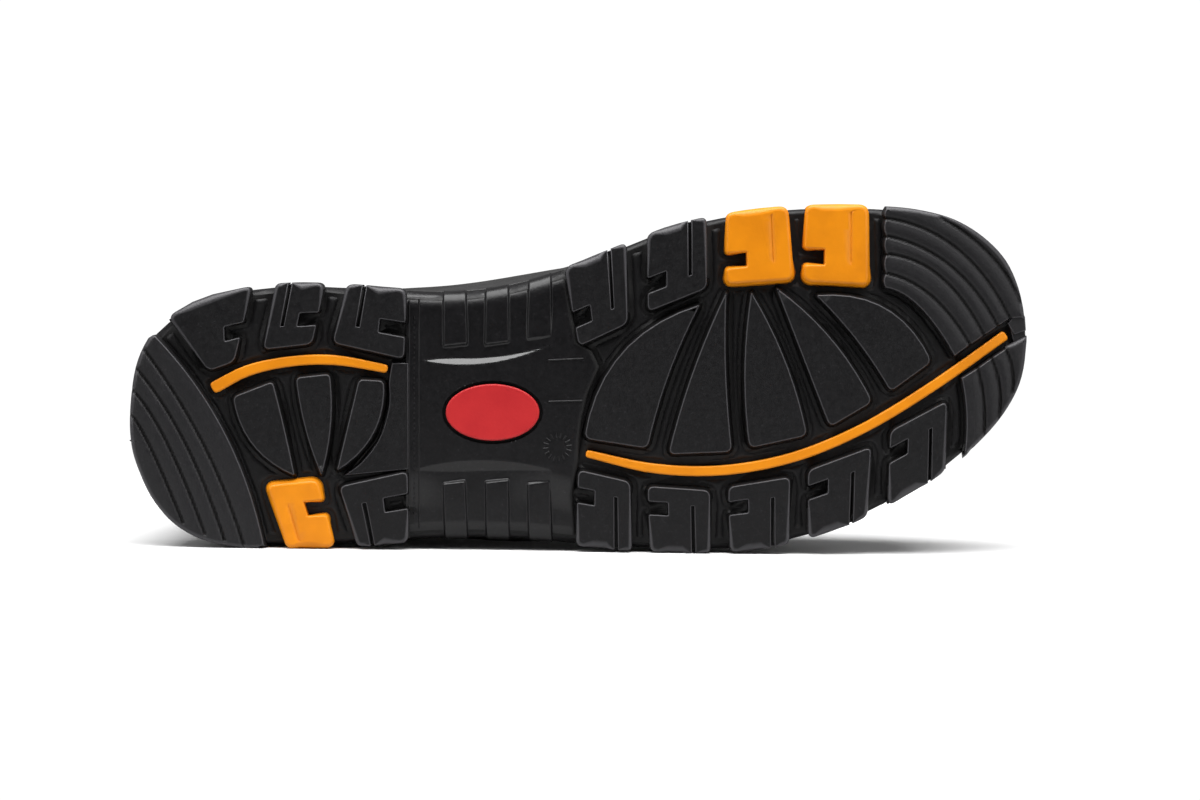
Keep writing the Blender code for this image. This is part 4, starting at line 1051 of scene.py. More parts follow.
def slit_points(lug):
    """Points over a grip's shallow slit, and the slit's start and end."""
    motif = MOTIFS[lug.motif]
    start, end = (lug_point(lug, motif.slit_at, across) for across in (motif.slit_from, GRIP_SLIT_END))
    along = (end - start).normalized()
    across = Vector((-along.y, along.x))
    steps = [start + along * GRIP_SLIT_STEP * k for k in range(int((end - start).length / GRIP_SLIT_STEP))]
    return [step + across * aside for step in steps for aside in GRIP_SLIT_ASIDE], start, end


def slit_depth(point, start, end):
    """Depth of a grip's slit at a point of its face."""
    along = (end - start).normalized()
    aside = abs((point - start).cross(along))
    ahead = (point - start).dot(along)
    return GRIP_SLIT * float((1 - ramp_up(aside, *GRIP_SLIT_WIDE)) * ramp_up(ahead, *GRIP_SLIT_RISE))


def block_rows(form, rim_foot, foot):
    """Rings of a block from its foot to its face: outline, depths and share of the edge lightened for wear
    and as painted highlight.
    """
    depths = [rim_foot if rim else foot for rim in form.rims]
    under = [-RIM_FOOT_IN if rim else flare - FOOT_IN for rim, flare in zip(form.rims, form.flares)]
    wall = [flare + BLOCK_PROUD for flare in form.flares]
    lower = [f * r / LUG_DEPTH + BLOCK_PROUD for f, r in zip(form.flares, form.roundings)]
    rows = [(under, depths, 0.0), (wall, depths, 0.0), (lower, [r + WALL_START for r in form.roundings], 0.0)]
    for k in range(EDGE_STEPS + 1):
        angle = math.pi / 2 * k / EDGE_STEPS
        inset = [BLOCK_PROUD - r * (1 - math.cos(angle)) for r in form.roundings]
        rows.append((inset, [r * (1 - math.sin(angle)) for r in form.roundings], math.sin(2 * angle)))
    return [(grown(form.points, moves), depths, share) for moves, depths, share in rows]


def block_mesh(form, level, relief=None, extra=(), spacing=FACE_GRID, wear_and_highlight=0.0, rim_foot=LUG_SHOULDER):
    """Block with flared walls, a rounded edge and a face: points, faces, depths and shares of the edge's wear
    and painted highlight.
    """
    points, depths, edges = [], [], []

    def add(spot, depth, share, rim):
        dip = relief(spot) * float(1 - ramp_up(depth, *RELIEF_FADE)) if relief else 0.0
        points.append((spot.x, spot.y, lift(spot.x) + level + depth + dip - BLOCK_PROUD))
        # Depth darkens walls and relief grooves as painted shade; the edge share lightens rounded edges as
        # wear and painted highlight
        depths.append(0.0 if rim else max(depth, dip * GROOVE_PAINTED_SHADE))
        edges.append(max(share, wear_and_highlight) * float(1 - ramp_up(dip, *WEAR_AND_HIGHLIGHT_FADE)))

    rows = block_rows(form, rim_foot, LUG_DEPTH + FOOT_SINK - level)
    for ring, ring_depths, share in rows:
        for spot, depth, rim in zip(ring, ring_depths, form.rims):
            add(spot, depth, share, rim)
    count, start = len(form.points), len(points)
    faces = grid_faces(len(rows), count, closed=True)
    border = grown(form.points, [BLOCK_PROUD - r - FACE_INSET for r in form.roundings])
    flat, triangles = face_mesh(border, spacing, extra)
    for spot in flat:
        add(spot, 0.0, 0.0, False)
    faces += [[i + start for i in face] for face in triangles]
    seam = nearest(flat)
    joint = [start + seam.find((p.x, p.y, 0.0))[1] for p in border]
    for i in range(count):
        k = (i + 1) % count
        ring = list(dict.fromkeys([start - count + i, start - count + k, joint[k], joint[i]]))
        if len(ring) > 2:
            faces.append(ring)
    return points, faces, depths, edges


def blocks_piece(name, meshes, material, nodes=()):
    """One piece from several blocks, with the depth and edge values that its material reads."""
    points, faces, depths, edges = joined(meshes)
    item = new_piece(name, points, faces, material, nodes, depth=depths, edge=edges)
    builder = bmesh.new()
    builder.from_mesh(item.data)
    bmesh.ops.recalc_face_normals(builder, faces=builder.faces)
    builder.to_mesh(item.data)
    builder.free()


def make_tread_blocks(material):
    """All rubber lugs with the floors of their slits, the pads, and the plate in front of the heel."""
    slit = [lug for lug in LUGS if MOTIFS[lug.motif].slit_at]
    forms = [lug_outline(lug, LUG_CORNERS, lug in slit) for lug in LUGS]
    meshes = [block_mesh(form, 0.0) for form in forms + [pad_outline(pad) for pad in PADS]]
    rim_foot = LUG_SHOULDER - SLIT_DEPTH
    meshes += [block_mesh(slit_floor(lug), SLIT_DEPTH, rim_foot=rim_foot) for lug in slit]
    plate = [Vector(p) for p in smooth_rows(HEEL_PLATE_REAR, HEEL_PLATE_STEP) + HEEL_PLATE_FRONT]
    meshes.append(block_mesh(even_form(plate, *HEEL_PLATE_WALL), HEEL_PLATE_LEVEL))
    blocks_piece("tread_blocks", meshes, material)


def make_grips(material):
    """Soft grip lugs with a shallow slit each, and the two strips."""
    for lug in GRIP_LUGS:
        extra, start, end = slit_points(lug)
        relief = partial(slit_depth, start=start, end=end)
        mesh = block_mesh(lug_outline(lug, GRIP_CORNERS, False), 0.0, relief, extra)
        blocks_piece(lug.name + "_soft", [mesh], material, (lug.name,))
    for name, rows in STRIPS.items():
        mesh = block_mesh(strip_outline(rows, STRIP_CORNER[name]), STRIP_LEVEL)
        blocks_piece(name + "_soft", [mesh], material, (name,))


def make_badge(material):
    """Bare oval badge in the pocket of the waist."""
    blocks_piece("arch_badge_soft", [block_mesh(badge_outline(), BADGE_LEVEL)], material, ("arch_badge",))


def line_points(line, count):
    """Points of a smooth line through its start, middle and end."""
    start, middle, end = Vector(line[0:2]), Vector(line[2:4]), Vector(line[4:6])
    return arc(start, middle * 2 - (start + end) / 2, end, count)


def rib_form(border, rim):
    """Form of a ribbed zone between its inner border and a stretch of the sole's rim."""
    inner = stepped(border + rim[:1], RIB_STEP)
    outer = stepped(rim + border[:1], RIB_STEP)
    rims = [False] * len(inner) + [True] * len(outer)
    loop = grown(inner + outer, [RIB_PROUD if rim else 0.0 for rim in rims])
    flares = [0.0 if rim else RIB_FLARE for rim in rims]
    return Form(loop, flares, [RIM_ROUNDING if rim else RIB_ROUNDING for rim in rims], rims)


def rib_zones():
    """Forms of the ribbed heel and of both sides of the toe."""
    heel_rim = [p for p in OUTER_EDGE[::-1] if p.x < HEEL_RIBS[0].x3 - 0.8]
    heel_rim += [p for p in INNER_EDGE if 0 < p.x < HEEL_RIBS[0].x1 - 1]
    heel = rib_form(line_points(HEEL_RIBS[0], 40), heel_rim)
    start = Vector((TOE_START, -edge(TOE_START, -1)))
    ends = [start] + [Vector(line[:2]) for line in TOE_RIBS[4::-1]]
    scallops = [p for a, b in zip(ends, ends[1:]) for p in bowed(a, b, -SCALLOP, 8)[:-1]]
    border = scallops[1:] + line_points(TOE_RIBS[0], 40) + [Vector(line[4:]) for line in TOE_RIBS[1:5]]
    rim = [p for p in INNER_EDGE[::-1] if p.x > TOE_START + 1] + [start]
    toe_inner = rib_form(border, rim)
    border = [Vector(line[:2]) for line in TOE_OUTER_RIBS[::-1]] + line_points(TOE_OUTER_RIBS[0], 30)[1:]
    rim = [p for p in OUTER_EDGE if p.x > TOE_OUTER_RIBS[0].x3 + 0.5 and p.y > 3.0] + [Vector(TOE_END)]
    return [heel, toe_inner, rib_form(border, rim)]


def rib_relief(spot, grooves, border):
    """Depth of a rib zone's face: smooth grooves along its lines and slightly crowned bands."""
    near, _, away = grooves.find((spot.x, spot.y, 0.0))
    outwards = (spot - near.xy).dot(spot - Vector((SOLE_LENGTH / 2, 0.0))) > 0
    half = RIB_OUTER if outwards else RIB_INNER
    rim = border.find((spot.x, spot.y, 0.0))[2]
    crown = RIB_CROWN * ramp_up(away, half, RIB_LAND) * ramp_up(rim, *RIB_CROWN_RISE)
    return float(RIB_GROOVE * (1 - ramp_up(away, 0.0, half)) - crown)


def make_ribs(material):
    """Soft rounded bands of the heel and the toe, and the tip between them."""
    lines = HEEL_RIBS[1:] + TOE_RIBS[1:] + TOE_OUTER_RIBS[1:]
    grooves = nearest([p for line in lines for p in line_points(line, 160)])
    meshes = []
    for form in rib_zones():
        relief = partial(rib_relief, grooves=grooves, border=nearest(form.points))
        meshes.append(block_mesh(form, 0.0, relief, (), RIB_GRID, RIB_WEAR_AND_SHEEN, RIB_TOP))
    for outline, level in TOE_TIPS:
        tip = [Vector(p) for p in outline]
        form = even_form(tip, *TOE_TIP_WALL)._replace(rims=[p.x > TOE_TIP_RIM for p in tip])
        meshes.append(block_mesh(form, level, wear_and_highlight=RIB_WEAR_AND_SHEEN, rim_foot=RIB_TOP))
    blocks_piece("rib_bands", meshes, material)


def boot_triangles(nodes):
    """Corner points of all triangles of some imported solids, in the boot's frame."""
    corners = []
    for node in nodes:
        mesh = frame["nodes"][node].data
        mesh.calc_loop_triangles()
        points = np.array([TO_BOOT @ v.co / MM for v in mesh.vertices])
        corners.append(points[[t.vertices[:] for t in mesh.loop_triangles]])
    return np.concatenate(corners)


def section_points(triangles, level, spacing=0.25):
    """Points along the lines where the solids cross one depth under the tread."""
    depths = triangles[:, :, 2] - np.vectorize(lift)(triangles[:, :, 0]) - level
    points = []
    for corners, depth in zip(triangles, depths):
        ends = []
        for i, j in ((0, 1), (1, 2), (2, 0)):
            if depth[i] * depth[j] < 0:
                share = depth[i] / (depth[i] - depth[j])
                ends.append(corners[i] + (corners[j] - corners[i]) * share)
        if len(ends) == 2:
            count = max(1, int(np.linalg.norm(ends[1] - ends[0]) / spacing))
            points += [ends[0] + (ends[1] - ends[0]) * k / count for k in range(count + 1)]
    return points


def make_web(material):
    """Raised web on the sole's floor, with a dark moat left round every block."""
    triangles = boot_triangles(["outsole", *STRIPS, *(lug.name for lug in GRIP_LUGS)])
    walls = nearest([point for level in WEB_WALLS for point in section_points(triangles, level)])
    corners = triangles.reshape(-1, 3)
    tree = BVHTree.FromPolygons(corners.tolist(), [(i, i + 1, i + 2) for i in range(0, len(corners), 3)])
    low, high = corners.min(axis=0), corners.max(axis=0)
    index, points = {}, []
    for i, x in enumerate(np.arange(low[0], high[0], WEB_GRID)):
        for j, y in enumerate(np.arange(low[1], high[1], WEB_GRID)):
            hit = tree.ray_cast(Vector((x, y, -5.0)), Vector((0.0, 0.0, 1.0)))[0]
            if hit is None or abs(hit.z - lift(x) - LUG_DEPTH) > FLOOR_SLACK:
                continue
            share = (walls.find((x, y, 0.0))[2] - WEB_MOAT) / WEB_SOFT
            if share >= WEB_BORDER:
                index[i, j] = len(points)
                points.append((x, y, hit.z + WEB_SINK - WEB_HEIGHT * ramp_up(share, 0.0, 1.0)))
    faces = []
    for i, j in index:
        square = [(i, j), (i, j + 1), (i + 1, j + 1), (i + 1, j)]
        if all(corner in index for corner in square):
            faces.append([index[corner] for corner in square])
    # The web takes the colour of its own depth; the moat round it keeps the floor's painted shade
    new_piece("tread_web", points, faces, material, depth=[LUG_DEPTH - WEB_HEIGHT] * len(points))


def waist_front(y):
    return np.interp(y, [p[1] for p in WAIST_FRONT], [p[0] for p in WAIST_FRONT])


def channel(y, start):
    return start + CHANNEL_SLANT * y


def waist_x(share, y):
    """Place at a share of the way from the channel to the waist's front border."""
    rear = channel(y, CHANNEL_REAR) - 0.5
    return rear + share * (waist_front(y) + GAP / 2 - FRONT_ROUND - rear)


def ledge_place(x, y, ledge):
    """Distance out from a ledge's bowed crest, and the width of its lens-shaped slope there."""
    crest = ledge.y + ledge.bend * (x - ledge.x) ** 2
    reach = np.where(x < ledge.wide_x, ledge.wide_x - ledge.rear, ledge.front - ledge.wide_x)
    width = ledge.width * np.clip(1 - ((x - ledge.wide_x) / reach) ** 2, 0.0, 1.0)
    return y * ledge.side - crest, width


def platform_raise(x, y):
    """Share of the platform's height: whole on top, down the slope of each ledge, then fading gently."""
    drop = 0.0
    for ledge in (INNER_LEDGE, OUTER_LEDGE):
        out, width = ledge_place(x, y, ledge)
        rest = WAIST_RAISE - ledge.tilt * width
        drop = drop + ledge.tilt * np.clip(out, 0.0, width)
        drop = drop + rest * ramp_up(out, width, width + LEDGE_FADE)
    return 1.0 - drop / WAIST_RAISE


def bar_raise(x, y):
    """Share of the bars' height on both sides of the waist."""
    raised = np.zeros_like(x)
    for bar in WAIST_BARS:
        out = y * bar.side
        share = (out - bar.inner_y) / (edge((bar.rear + bar.front) / 2, bar.side) - bar.inner_y)
        rear = bar.inner_rear + (bar.rear - bar.inner_rear) * share
        front = bar.inner_front + (bar.front - bar.inner_front) * share
        long = ramp_up(x, rear - BAR_SIDE, rear) * (1 - ramp_up(x, front, front + BAR_SIDE))
        end = np.clip((out - bar.inner_y + BAR_END) / BAR_END, 0.0, 1.0)
        raised = np.maximum(raised, long * end)
    return raised


def waist_raise(x, y, fade=1.0):
    """Height of the platform and the bars over the sides of the waist."""
    return np.maximum(WAIST_RAISE * platform_raise(x, y), BAR_RAISE * bar_raise(x, y) * fade)


def waist_columns():
    """Shares of the way from the channel to the front, and the drop of the rounded front border."""
    columns = [(i / WAIST_COLUMNS, 0.0, 0.0) for i in range(WAIST_COLUMNS + 1)]
    for k in range(1, 5):
        angle = math.radians(90.0 * k / 4)
        columns.append((1.0, FRONT_ROUND * math.sin(angle), FRONT_ROUND * (1 - math.cos(angle))))
    return columns + [(1.0, FRONT_ROUND, FRONT_FOOT)]


def waist_rows():
    """Rows from the inner edge to the outer one: skirt, rolled edge, flat part and the same mirrored.

    Each row is a share of the flat part, a step inwards from the edge and a height, with the row's tilt.
    """
    half = [(0.0, step, SKIRT_TOP + rise, 90.0) for step, rise in SKIRT]
    for k in range(ROLL_STEPS):
        tilt = 90.0 * (1 - k / ROLL_STEPS)
        angle = math.radians(tilt)
        half.append((0.0, ROLL * (1 - math.sin(angle)), WAIST_SIDE + ROLL * (1 - math.cos(angle)), tilt))
    flat = [(i / WAIST_ROWS, ROLL, WAIST_SIDE, 0.0) for i in range(WAIST_ROWS + 1)]
    return half + flat + [(1.0, step, height, -tilt) for share, step, height, tilt in reversed(half)]


def waist_edge(share, side):
    """Where a column of the waist meets one edge of the sole."""
    y = side * 40.0
    for _ in range(6):
        y = side * (edge(waist_x(share, y), side) + ROLL_OUT)
    return y


def in_pocket(x, y):
    """Distance from the middle of the badge pocket, as a share of its oval border."""
    middle_x, middle_y, long, short, turn = BADGE
    dx, dy = x - middle_x, y - middle_y
    along = dx * math.cos(turn) + dy * math.sin(turn)
    across = dy * math.cos(turn) - dx * math.sin(turn)
    return np.hypot(along / (long + POCKET_RIM), across / (short + POCKET_RIM))


def waist_points():
    """Grid of the waist: rolled edges, platform between two ledges and bars."""
    flat, step, height, tilt = np.array(waist_rows()).T
    angle = np.radians(tilt)
    fade = np.where(height > SKIRT_TOP - 1, 0.0, 1 - (1 - ROLL_BAR) * ramp_up(abs(tilt), *ROLL_FADE))
    points = []
    for share, ahead, drop in waist_columns():
        inner, outer = waist_edge(share, -1), waist_edge(share, 1)
        level = inner + ROLL + flat * (outer - inner - 2 * ROLL)
        y = np.where(tilt > 0, inner + step, np.where(tilt < 0, outer - step, level))
        x = waist_x(share, y) + ahead
        raised = waist_raise(x, y, fade)
        z = height - raised * np.cos(angle) + drop
        points.append(np.stack([x, y - raised * np.sin(angle), z], axis=1))
    return np.array(points)


def make_waist(material, polished):
    """Smooth saddle over the waist, with a hole for the badge, a polished slope above it and painted shade
    along its front border.
    """
    points = waist_points()
    ratio = in_pocket(points[..., 0], points[..., 1])
    middle = np.array(BADGE[:2])
    near = (ratio < 1.0) & (ratio > POCKET_SNAP)
    points[near, :2] = middle + (points[near, :2] - middle) / ratio[near][:, None]
    faces = [face for face in grid_faces(*points.shape[:2]) if min(ratio.flat[i] for i in face) > POCKET_SNAP]
    x, y = points[..., 0], points[..., 1]
    front = waist_front(y)
    # Painted shade along the front border, where the saddle turns down to the floor
    dark = ramp_up(x, front - FRONT_PAINTED_SHADE, front - 0.4).ravel()
    saddle = new_piece("waist_saddle", points.reshape(-1, 3).tolist(), faces, material, dark=dark)
    out, width = ledge_place(x, y, INNER_LEDGE)
    shiny = ((out > -0.1) & (out < width + 0.1)).ravel()
    saddle.data.materials.append(polished)
    for face in saddle.data.polygons:
        face.material_index = int(all(shiny[i] for i in face.vertices))


def waist_level(x, y):
    """Level of the waist's face at one place."""
    return WAIST_SIDE - float(waist_raise(np.array(x), y))


def ridge(path, level=None):
    """Half-round ridge along a path, at one level or else on the waist's face under each point."""
    width, height, sink = RIDGE
    points = []
    for i, point in enumerate(path):
        across = left_of(path, i)
        for k in range(5):
            angle = math.pi * k / 4
            side = point + across * math.cos(angle) * width / 2
            base = waist_level(*side) if level is None else level
            points.append((side.x, side.y, base + sink - height * math.sin(angle)))
    return points, grid_faces(len(path), 5)


def make_marks(material):
    """Plain moulded marks: two ridges with dashes between them, a ring of ticks and two frame lines."""
    inner, outer = (edge(x, side) - RIDGE_END for x, side in zip(RIDGE_ENDS_X, (-1, 1)))
    marks = []
    for start in (CHANNEL_REAR + 0.5, CHANNEL_FRONT):
        marks.append(ridge([Vector((channel(y, start), y)) for y in np.arange(-inner, outer, RIDGE_STEP)]))
    middle = (CHANNEL_REAR + CHANNEL_FRONT) / 2 + 0.3
    for y in np.arange(*DASHES):
        ends = [Vector((channel(v, middle), v)) for v in (y, y + DASH_LONG)]
        marks.append(ridge(ends, waist_level(middle, y)))
    x, y, low, high = TICK_RING
    for i in range(TICKS):
        way = Vector((math.cos(math.tau * i / TICKS), math.sin(math.tau * i / TICKS)))
        marks.append(ridge([Vector((x, y)) + way * reach for reach in (low, high)], PLATFORM_LEVEL))
    marks += [ridge([Vector(line[:2]), Vector(line[2:])], PLATFORM_LEVEL) for line in FRAME_LINES]
    new_piece("waist_marks", *joined(marks), material)


def egg(share, ring):
    """Half width of an upper ring as a share of its widest place, from the heel to the front."""
    if share < ring.crown:
        back = (ring.crown - share) / ring.crown
        return max(0.0, 1 - back ** HEEL_ROUND) ** (1 / HEEL_ROUND)
    ahead = (share - ring.crown) / (1 - ring.crown)
    return max(0.0, 1 - ahead ** ring.nose) ** ring.blunt


def upper_ring(ring):
    """One ring of the upper: the foot's plan below, turning into a rounded oval at the ankle."""
    plan = foot_plan(RIM_WALL + GAP - ring.swell)
    heel, toe = plan[0][0].x, plan[0][-1].x
    sides = []
    for points, half in zip(plan, (-ring.inner, ring.outer)):
        side = []
        for foot, row in zip(points, SOLE):
            share = (foot.x - heel) / (toe - heel)
            oval = np.array((
                ring.back_x + (ring.front_x - ring.back_x) * share,
                half * egg(share, ring),
                ring.back_z + (ring.front_z - ring.back_z) * share,
            ))
            side.append(np.array((foot.x, foot.y, row.rim + ring.rise)) * ring.foot + oval * (1 - ring.foot))
        sides.append(side)
    return np.array(around(*sides))


def upper_grid():
    """Points of the upper's outer side, ring by ring from the floor of the cup to the collar."""
    rings = [upper_ring(ring) for ring in UPPER_RINGS]
    seat = rings[0].copy()
    floors = [row.floor + GAP for row in SOLE]
    seat[:, 2] = around(floors, floors)
    front = 3 * (len(SOLE) - 1)
    rows = [ring.reshape(-1) for ring in [seat, *rings]]
    filled = smooth_rows(rows, RING_STEP, (2, front, front + 2))
    return np.array(filled).reshape(len(filled), -1, 3)


def doubled(grid):
    """Grid with a smooth point added between each two along its closed rows."""
    before, after, beyond = (np.roll(grid, k, axis=1) for k in (1, -1, -2))
    middle = (9 * (grid + after) - before - beyond) / 16
    return np.stack([grid, middle], axis=2).reshape(len(grid), -1, 3)


def grid_normals(grid):
    """Outward direction at each point of a grid that is closed along its rows."""
    along = np.roll(grid, -1, axis=1) - np.roll(grid, 1, axis=1)
    normals = np.cross(along, np.gradient(grid, axis=0))
    return normals / np.maximum(np.linalg.norm(normals, axis=2, keepdims=True), 1e-9)


def creased(grid):
    """Push the leather in and out along the creases, and let it ripple slightly."""
    x, y, z = grid[..., 0], grid[..., 1], grid[..., 2]
    push = np.zeros_like(x)
    for crease in CREASES:
        turn = math.radians(crease.turn)
        away = (x - crease.x - crease.slant * y) * math.cos(turn) - (z - crease.z) * math.sin(turn)
        away = away + crease.bow * (y / CREASE_HALF) ** 2
        near = np.exp(-((x - crease.x) ** 2 + (z - crease.z) ** 2) / crease.reach ** 2)
        trough = np.exp(-(away / crease.width) ** 2)
        ridges = np.exp(-((abs(away) - 2.0 * crease.width) / (1.2 * crease.width)) ** 2)
        push += crease.depth * near * (0.5 * ridges - trough)
    free = ramp_up(z, *RIPPLE_FROM) * ramp_up(-z, *RIPPLE_TO)
    push += RIPPLE * free * np.sin(x / 9.0 + z / 13.0) * np.sin(z / 11.0 - y / 17.0 + 1.0)
    return grid + grid_normals(grid) * push[..., None]


def elastic_share(grid):
    """How much of each point of the shaft belongs to the panel let into its side."""
    outline = rounded_path(GORE + GORE[:1], *GORE_CURVE)
    places = grid.reshape(-1, 3)
    inside = inside_all(places[:, 0], places[:, 2], outline) & (abs(places[:, 1]) > GORE_ASIDE)
    near = nearest(outline)
    depth = np.array([near.find((x, z, 0.0))[2] for x, y, z in places])
    return (inside * ramp_up(depth, 0.0, GORE_SOFT)).reshape(grid.shape[:2])


class Skin:
    """The leather's outer side, for laying seams and stitches on it."""

    def __init__(self, grid):
        faces = grid_faces(*grid.shape[:2], closed=True)
        self.tree = BVHTree.FromPolygons(grid.reshape(-1, 3).tolist(), faces)

    def at(self, across, z, face):
        """Point and normal on one face, if any: across is x on the inner and outer side, y at the back."""
        if face == "back":
            start, way = Vector((RAY_BACK, across, z)), Vector((1.0, 0.0, 0.0))
        else:
            side = 1.0 if face == "outer" else -1.0
            start, way = Vector((across, side * RAY_SIDE, z)), Vector((0.0, -side, 0.0))
        hit, normal = self.tree.ray_cast(start, way)[:2]
        if hit is not None:
            return hit, normal if normal.dot(way) < 0 else -normal

    def band(self, path, width, height, face):
        """Flat band with soft borders along a path."""
        points = []
        for i, point in enumerate(path):
            across = left_of(path, i) * width
            found = [self.at(*(point + across * share), face) for share, rise in BAND_PROFILE]
            if all(found):
                points += [tuple(hit + normal * rise * height)
                           for (hit, normal), (share, rise) in zip(found, BAND_PROFILE)]
        return points, grid_faces(len(points) // len(BAND_PROFILE), len(BAND_PROFILE))

    def stitches(self, path, asides, rise, face):
        """Rows of stitches beside a path."""
        rows = []
        for aside in asides:
            found = [self.at(*(point + left_of(path, i) * aside), face) for i, point in enumerate(path)]
            rows += stitch_row([(spot[0] + spot[1] * rise, spot[1]) for spot in found if spot])
        return rows


def stitch_row(spots):
    """Stitches at an even pitch along places on the leather, given as points and normals."""
    lengths = np.cumsum([0.0] + [(b[0] - a[0]).length for a, b in zip(spots, spots[1:])])
    parts = []
    for start in np.arange(STITCH_START, lengths[-1] - STITCH_LONG, STITCH_PITCH):
        centres = []
        for share, thick, rise in STITCH_PROFILE:
            here = np.interp(start + share * STITCH_LONG, lengths, np.arange(len(spots)))
            i = min(int(here), len(spots) - 2)
            point = spots[i][0].lerp(spots[i + 1][0], here - i)
            centres.append((point + spots[i][1] * rise * STITCH_THICK, thick * STITCH_THICK, spots[i][1]))
        along = (centres[-1][0] - centres[0][0]).normalized()
        points = []
        for point, thick, normal in centres:
            side = along.cross(normal).normalized()
            for k in range(STITCH_SIDES):
                angle = math.tau * k / STITCH_SIDES
                points.append(tuple(point + (side * math.cos(angle) + normal * math.sin(angle)) * thick))
        parts.append((points, grid_faces(len(centres), STITCH_SIDES, closed=True)))
    return parts


def make_collar(grid, normals, material):
    """Rolled binding over the upper's top edge."""
    out, up = normals[-1], grid[-1] - grid[-2]
    up = up / np.linalg.norm(up, axis=1, keepdims=True)
    centre = grid[-1] - out * UPPER_WALL / 2
    rings = []
    for k in range(COLLAR_POINTS):
        angle = math.tau * k / COLLAR_POINTS
        rings.append(centre + (out * math.cos(angle) + up * math.sin(angle)) * COLLAR_ROUND)
    grid_piece("collar_binding", np.array(rings + rings[:1]), material, closed=True)


def make_upper(leather, lining, thread):
    """Leather shell with its creases, lining, folded seams, collar and stitches."""
    whole = creased(doubled(upper_grid()))
    normals = grid_normals(whole)
    elastic = elastic_share(whole)
    shell = whole - normals * (GORE_DEPTH * elastic)[..., None]
    layers = {"elastic": elastic.ravel(), "along": shell[..., 0].ravel()}
    grid_piece("upper_leather", shell, leather, ("upper",), closed=True, **layers)
    under = (whole - normals * UPPER_WALL)[:, ::2]
    grid_piece("upper_lining", under, lining, closed=True, inwards=True)
    make_collar(whole, normals, leather)
    skin = Skin(shell)
    bands, stitches = [], []
    seam = rounded_path(SIDE_SEAM, *SIDE_CURVE)
    for face in ("inner", "outer"):
        bands.append(skin.band(seam, *SIDE_BAND, face))
        stitches += skin.stitches(seam, SIDE_ROWS, SIDE_BAND[1], face)
        stitches += skin.stitches(rounded_path(GORE_BORDER, *GORE_CURVE), GORE_ROWS, 0.0, face)
    back = rounded_path(BACK_SEAM, *BACK_CURVE)
    bands.append(skin.band(back, *BACK_BAND, "back"))
    stitches += skin.stitches(back, BACK_ROWS, BACK_BAND[1], "back")
    line = [(Vector(p), Vector(n)) for p, n in zip(shell[COLLAR_ROW], normals[COLLAR_ROW])]
    stitches += stitch_row(line + line[:1])
    new_piece("upper_seams", *joined(bands), leather)
    new_piece("upper_stitches", *joined(stitches), thread)


def make_insole(material):
    """Felt insole with a soft border, slightly cupped round the heel."""
    rows = []
    for a, b, station in zip(*foot_plan(RIM_WALL + UPPER_WALL + 3 * GAP), SOLE):
        low = station.floor + GAP
        row = [(a.x, a.y, low)]
        for k in range(INSOLE_ACROSS + 1):
            point = a.lerp(b, 0.5 - 0.5 * math.cos(math.pi * k / INSOLE_ACROSS))
            border = min((point - a).length, (point - b).length)
            soft = INSOLE_SOFT[0] * (1 - ramp_up(border, 0.0, INSOLE_SOFT[1]))
            cup = INSOLE_CUP[0] * ramp_up(border, *INSOLE_CUP[1:])
            row.append((point.x, point.y, station.floor + INSOLE_THICKNESS - soft - cup))
        rows.append(row + [(b.x, b.y, low)])
    grid_piece("insole_felt", np.array(rows), material, ("insole",), inwards=True)


def make_camera():
    """Camera square to the tread as in the photo, at the photo's slope of the sole."""
    back = Vector((0.0, -math.cos(CAMERA_ELEVATION), math.sin(CAMERA_ELEVATION)))
    along = BOOT.to_3x3() @ Vector((1.0, 0.0, 0.0))
    along = (along - back * along.dot(back)).normalized()
    right = Matrix.Rotation(-AXIS_SLOPE, 3, back) @ along
    data = bpy.data.cameras.new("camera")
    data.sensor_width = SENSOR
    data.lens = SENSOR * CAMERA_DISTANCE / PICTURE_WIDTH
    camera = add_object("camera", data)
    turn = Matrix((right, back.cross(right), back)).transposed().to_4x4()
    target = place(PICTURE_X, PICTURE_Y, 0.0)
    camera.matrix_world = Matrix.Translation(target + back * CAMERA_DISTANCE) @ turn
    bpy.context.scene.camera = camera


def make_floor():
    """White studio floor that fades into the backdrop at its border."""
    look = Look("floor", 0.2, 0.8)
    seen = look.node("LightPath", "Is Camera Ray", {})
    away = look.node("VectorMath", "Value", {0: look.point}, operation="LENGTH")
    links = {"Value": away, "From Min": FLOOR_FADE, "From Max": FLOOR_REACH, "To Min": 1.0, "To Max": 0.0}
    fade = look.node("MapRange", "Result", links, interpolation_type="SMOOTHSTEP")
    look.feed(Base_Color=look.mix(seen, FLOOR_BOUNCE, FLOOR_WHITE), Alpha=fade)
    corners = [(x * FLOOR_REACH, y * FLOOR_REACH, 0.0) for x, y in ((-1, -1), (1, -1), (1, 1), (-1, 1))]
    mesh = bpy.data.meshes.new("floor")
    mesh.from_pydata(corners, [], [(0, 1, 2, 3)])
    mesh.materials.append(look.material)
    floor = add_object("floor", mesh)


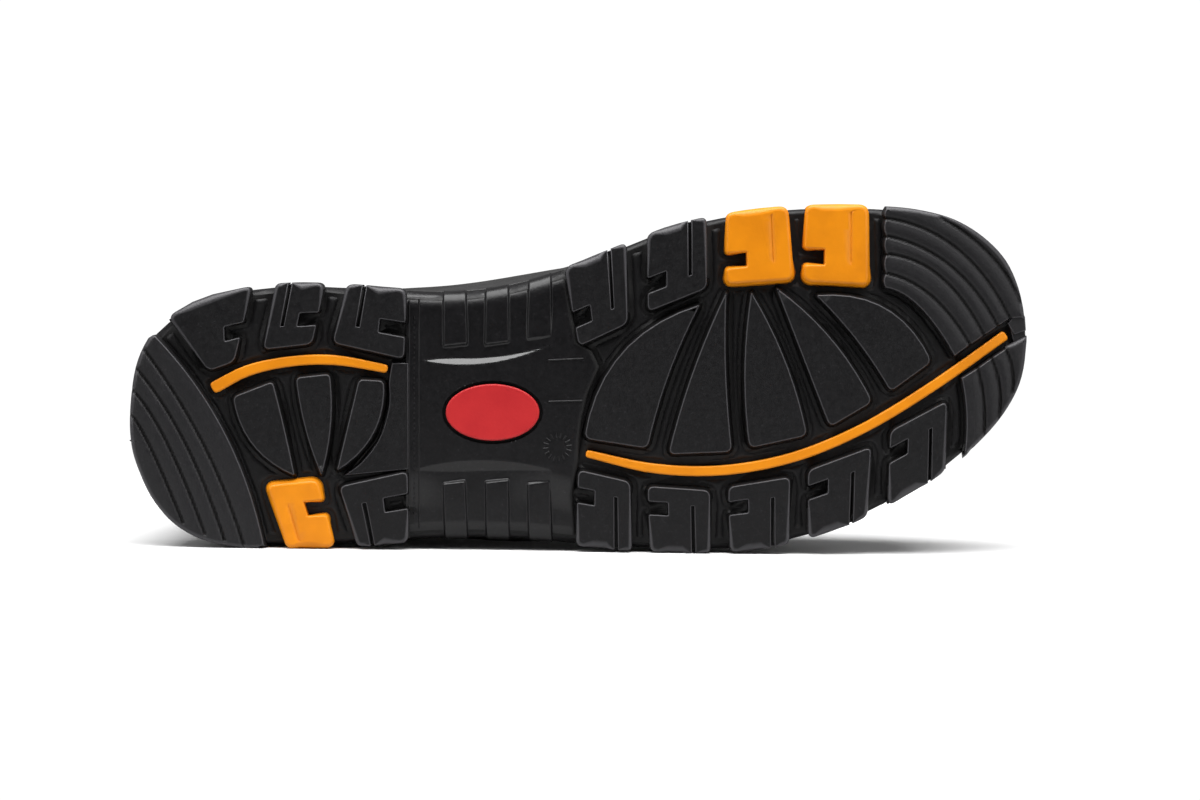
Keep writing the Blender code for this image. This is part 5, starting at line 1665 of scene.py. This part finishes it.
def make_lights():
    """White studio: the backdrop shows white, the panels stand above and to both sides."""
    world = bpy.data.worlds.new("studio")
    bpy.context.scene.world = world
    world.use_nodes = True
    tree = world.node_tree
    room = tree.nodes["Background"]
    room.inputs["Color"].default_value = (1.0, 1.0, 1.0, 1.0)
    way = add_node(tree, "TexCoord", {}).outputs["Generated"]
    depth = add_node(tree, "SeparateXYZ", {"Vector": way}).outputs["Y"]
    links = {"Value": depth, "From Min": -ROOM_TURN, "From Max": ROOM_TURN}
    light = add_node(tree, "MapRange", {**links, "To Min": ROOM_FRONT, "To Max": ROOM_BACK}).outputs["Result"]
    seen = add_node(tree, "LightPath", {}).outputs["Is Camera Ray"]
    strength = add_node(tree, "MapRange", {"Value": seen, "To Min": light, "To Max": BACKDROP})
    tree.links.new(strength.outputs["Result"], room.inputs["Strength"])
    for panel in PANELS:
        lamp = bpy.data.lights.new(panel.name, "AREA")
        lamp.shape = "RECTANGLE"
        lamp.size, lamp.size_y = panel.wide, panel.high
        lamp.energy = panel.power
        item = add_object(panel.name, lamp)
        item.location = (panel.x, panel.y, panel.z)
        item.rotation_euler = (PANEL_AIM - item.location).to_track_quat("-Z", "Y").to_euler()


def main():
    bpy.context.scene.view_settings.view_transform = "Standard"
    rubber = rubber_look()
    smooth_rubber = waist_look()
    orange = moulded_look("orange", (0.84, 0.272, 0.004), (0.76, 0.238, 0.0035), 0.38)
    red = moulded_look("red", (0.53, 0.023, 0.026), (0.49, 0.019, 0.023), 0.4)
    lining = cloth_look("lining", (0.03, 0.03, 0.032), (0.07, 0.07, 0.075), 0.9, 0.15)
    felt = cloth_look("felt", (0.05, 0.05, 0.055), (0.12, 0.12, 0.13), 1.6, 0.3)
    make_outsole(rubber)
    make_tread_blocks(rubber)
    make_grips(orange)
    make_badge(red)
    make_ribs(rubber)
    make_web(rubber)
    make_waist(smooth_rubber, ledge_look())
    make_marks(smooth_rubber)
    make_upper(leather_look(), lining, thread_look())
    make_insole(felt)
    make_camera()
    make_floor()
    make_lights()


main()
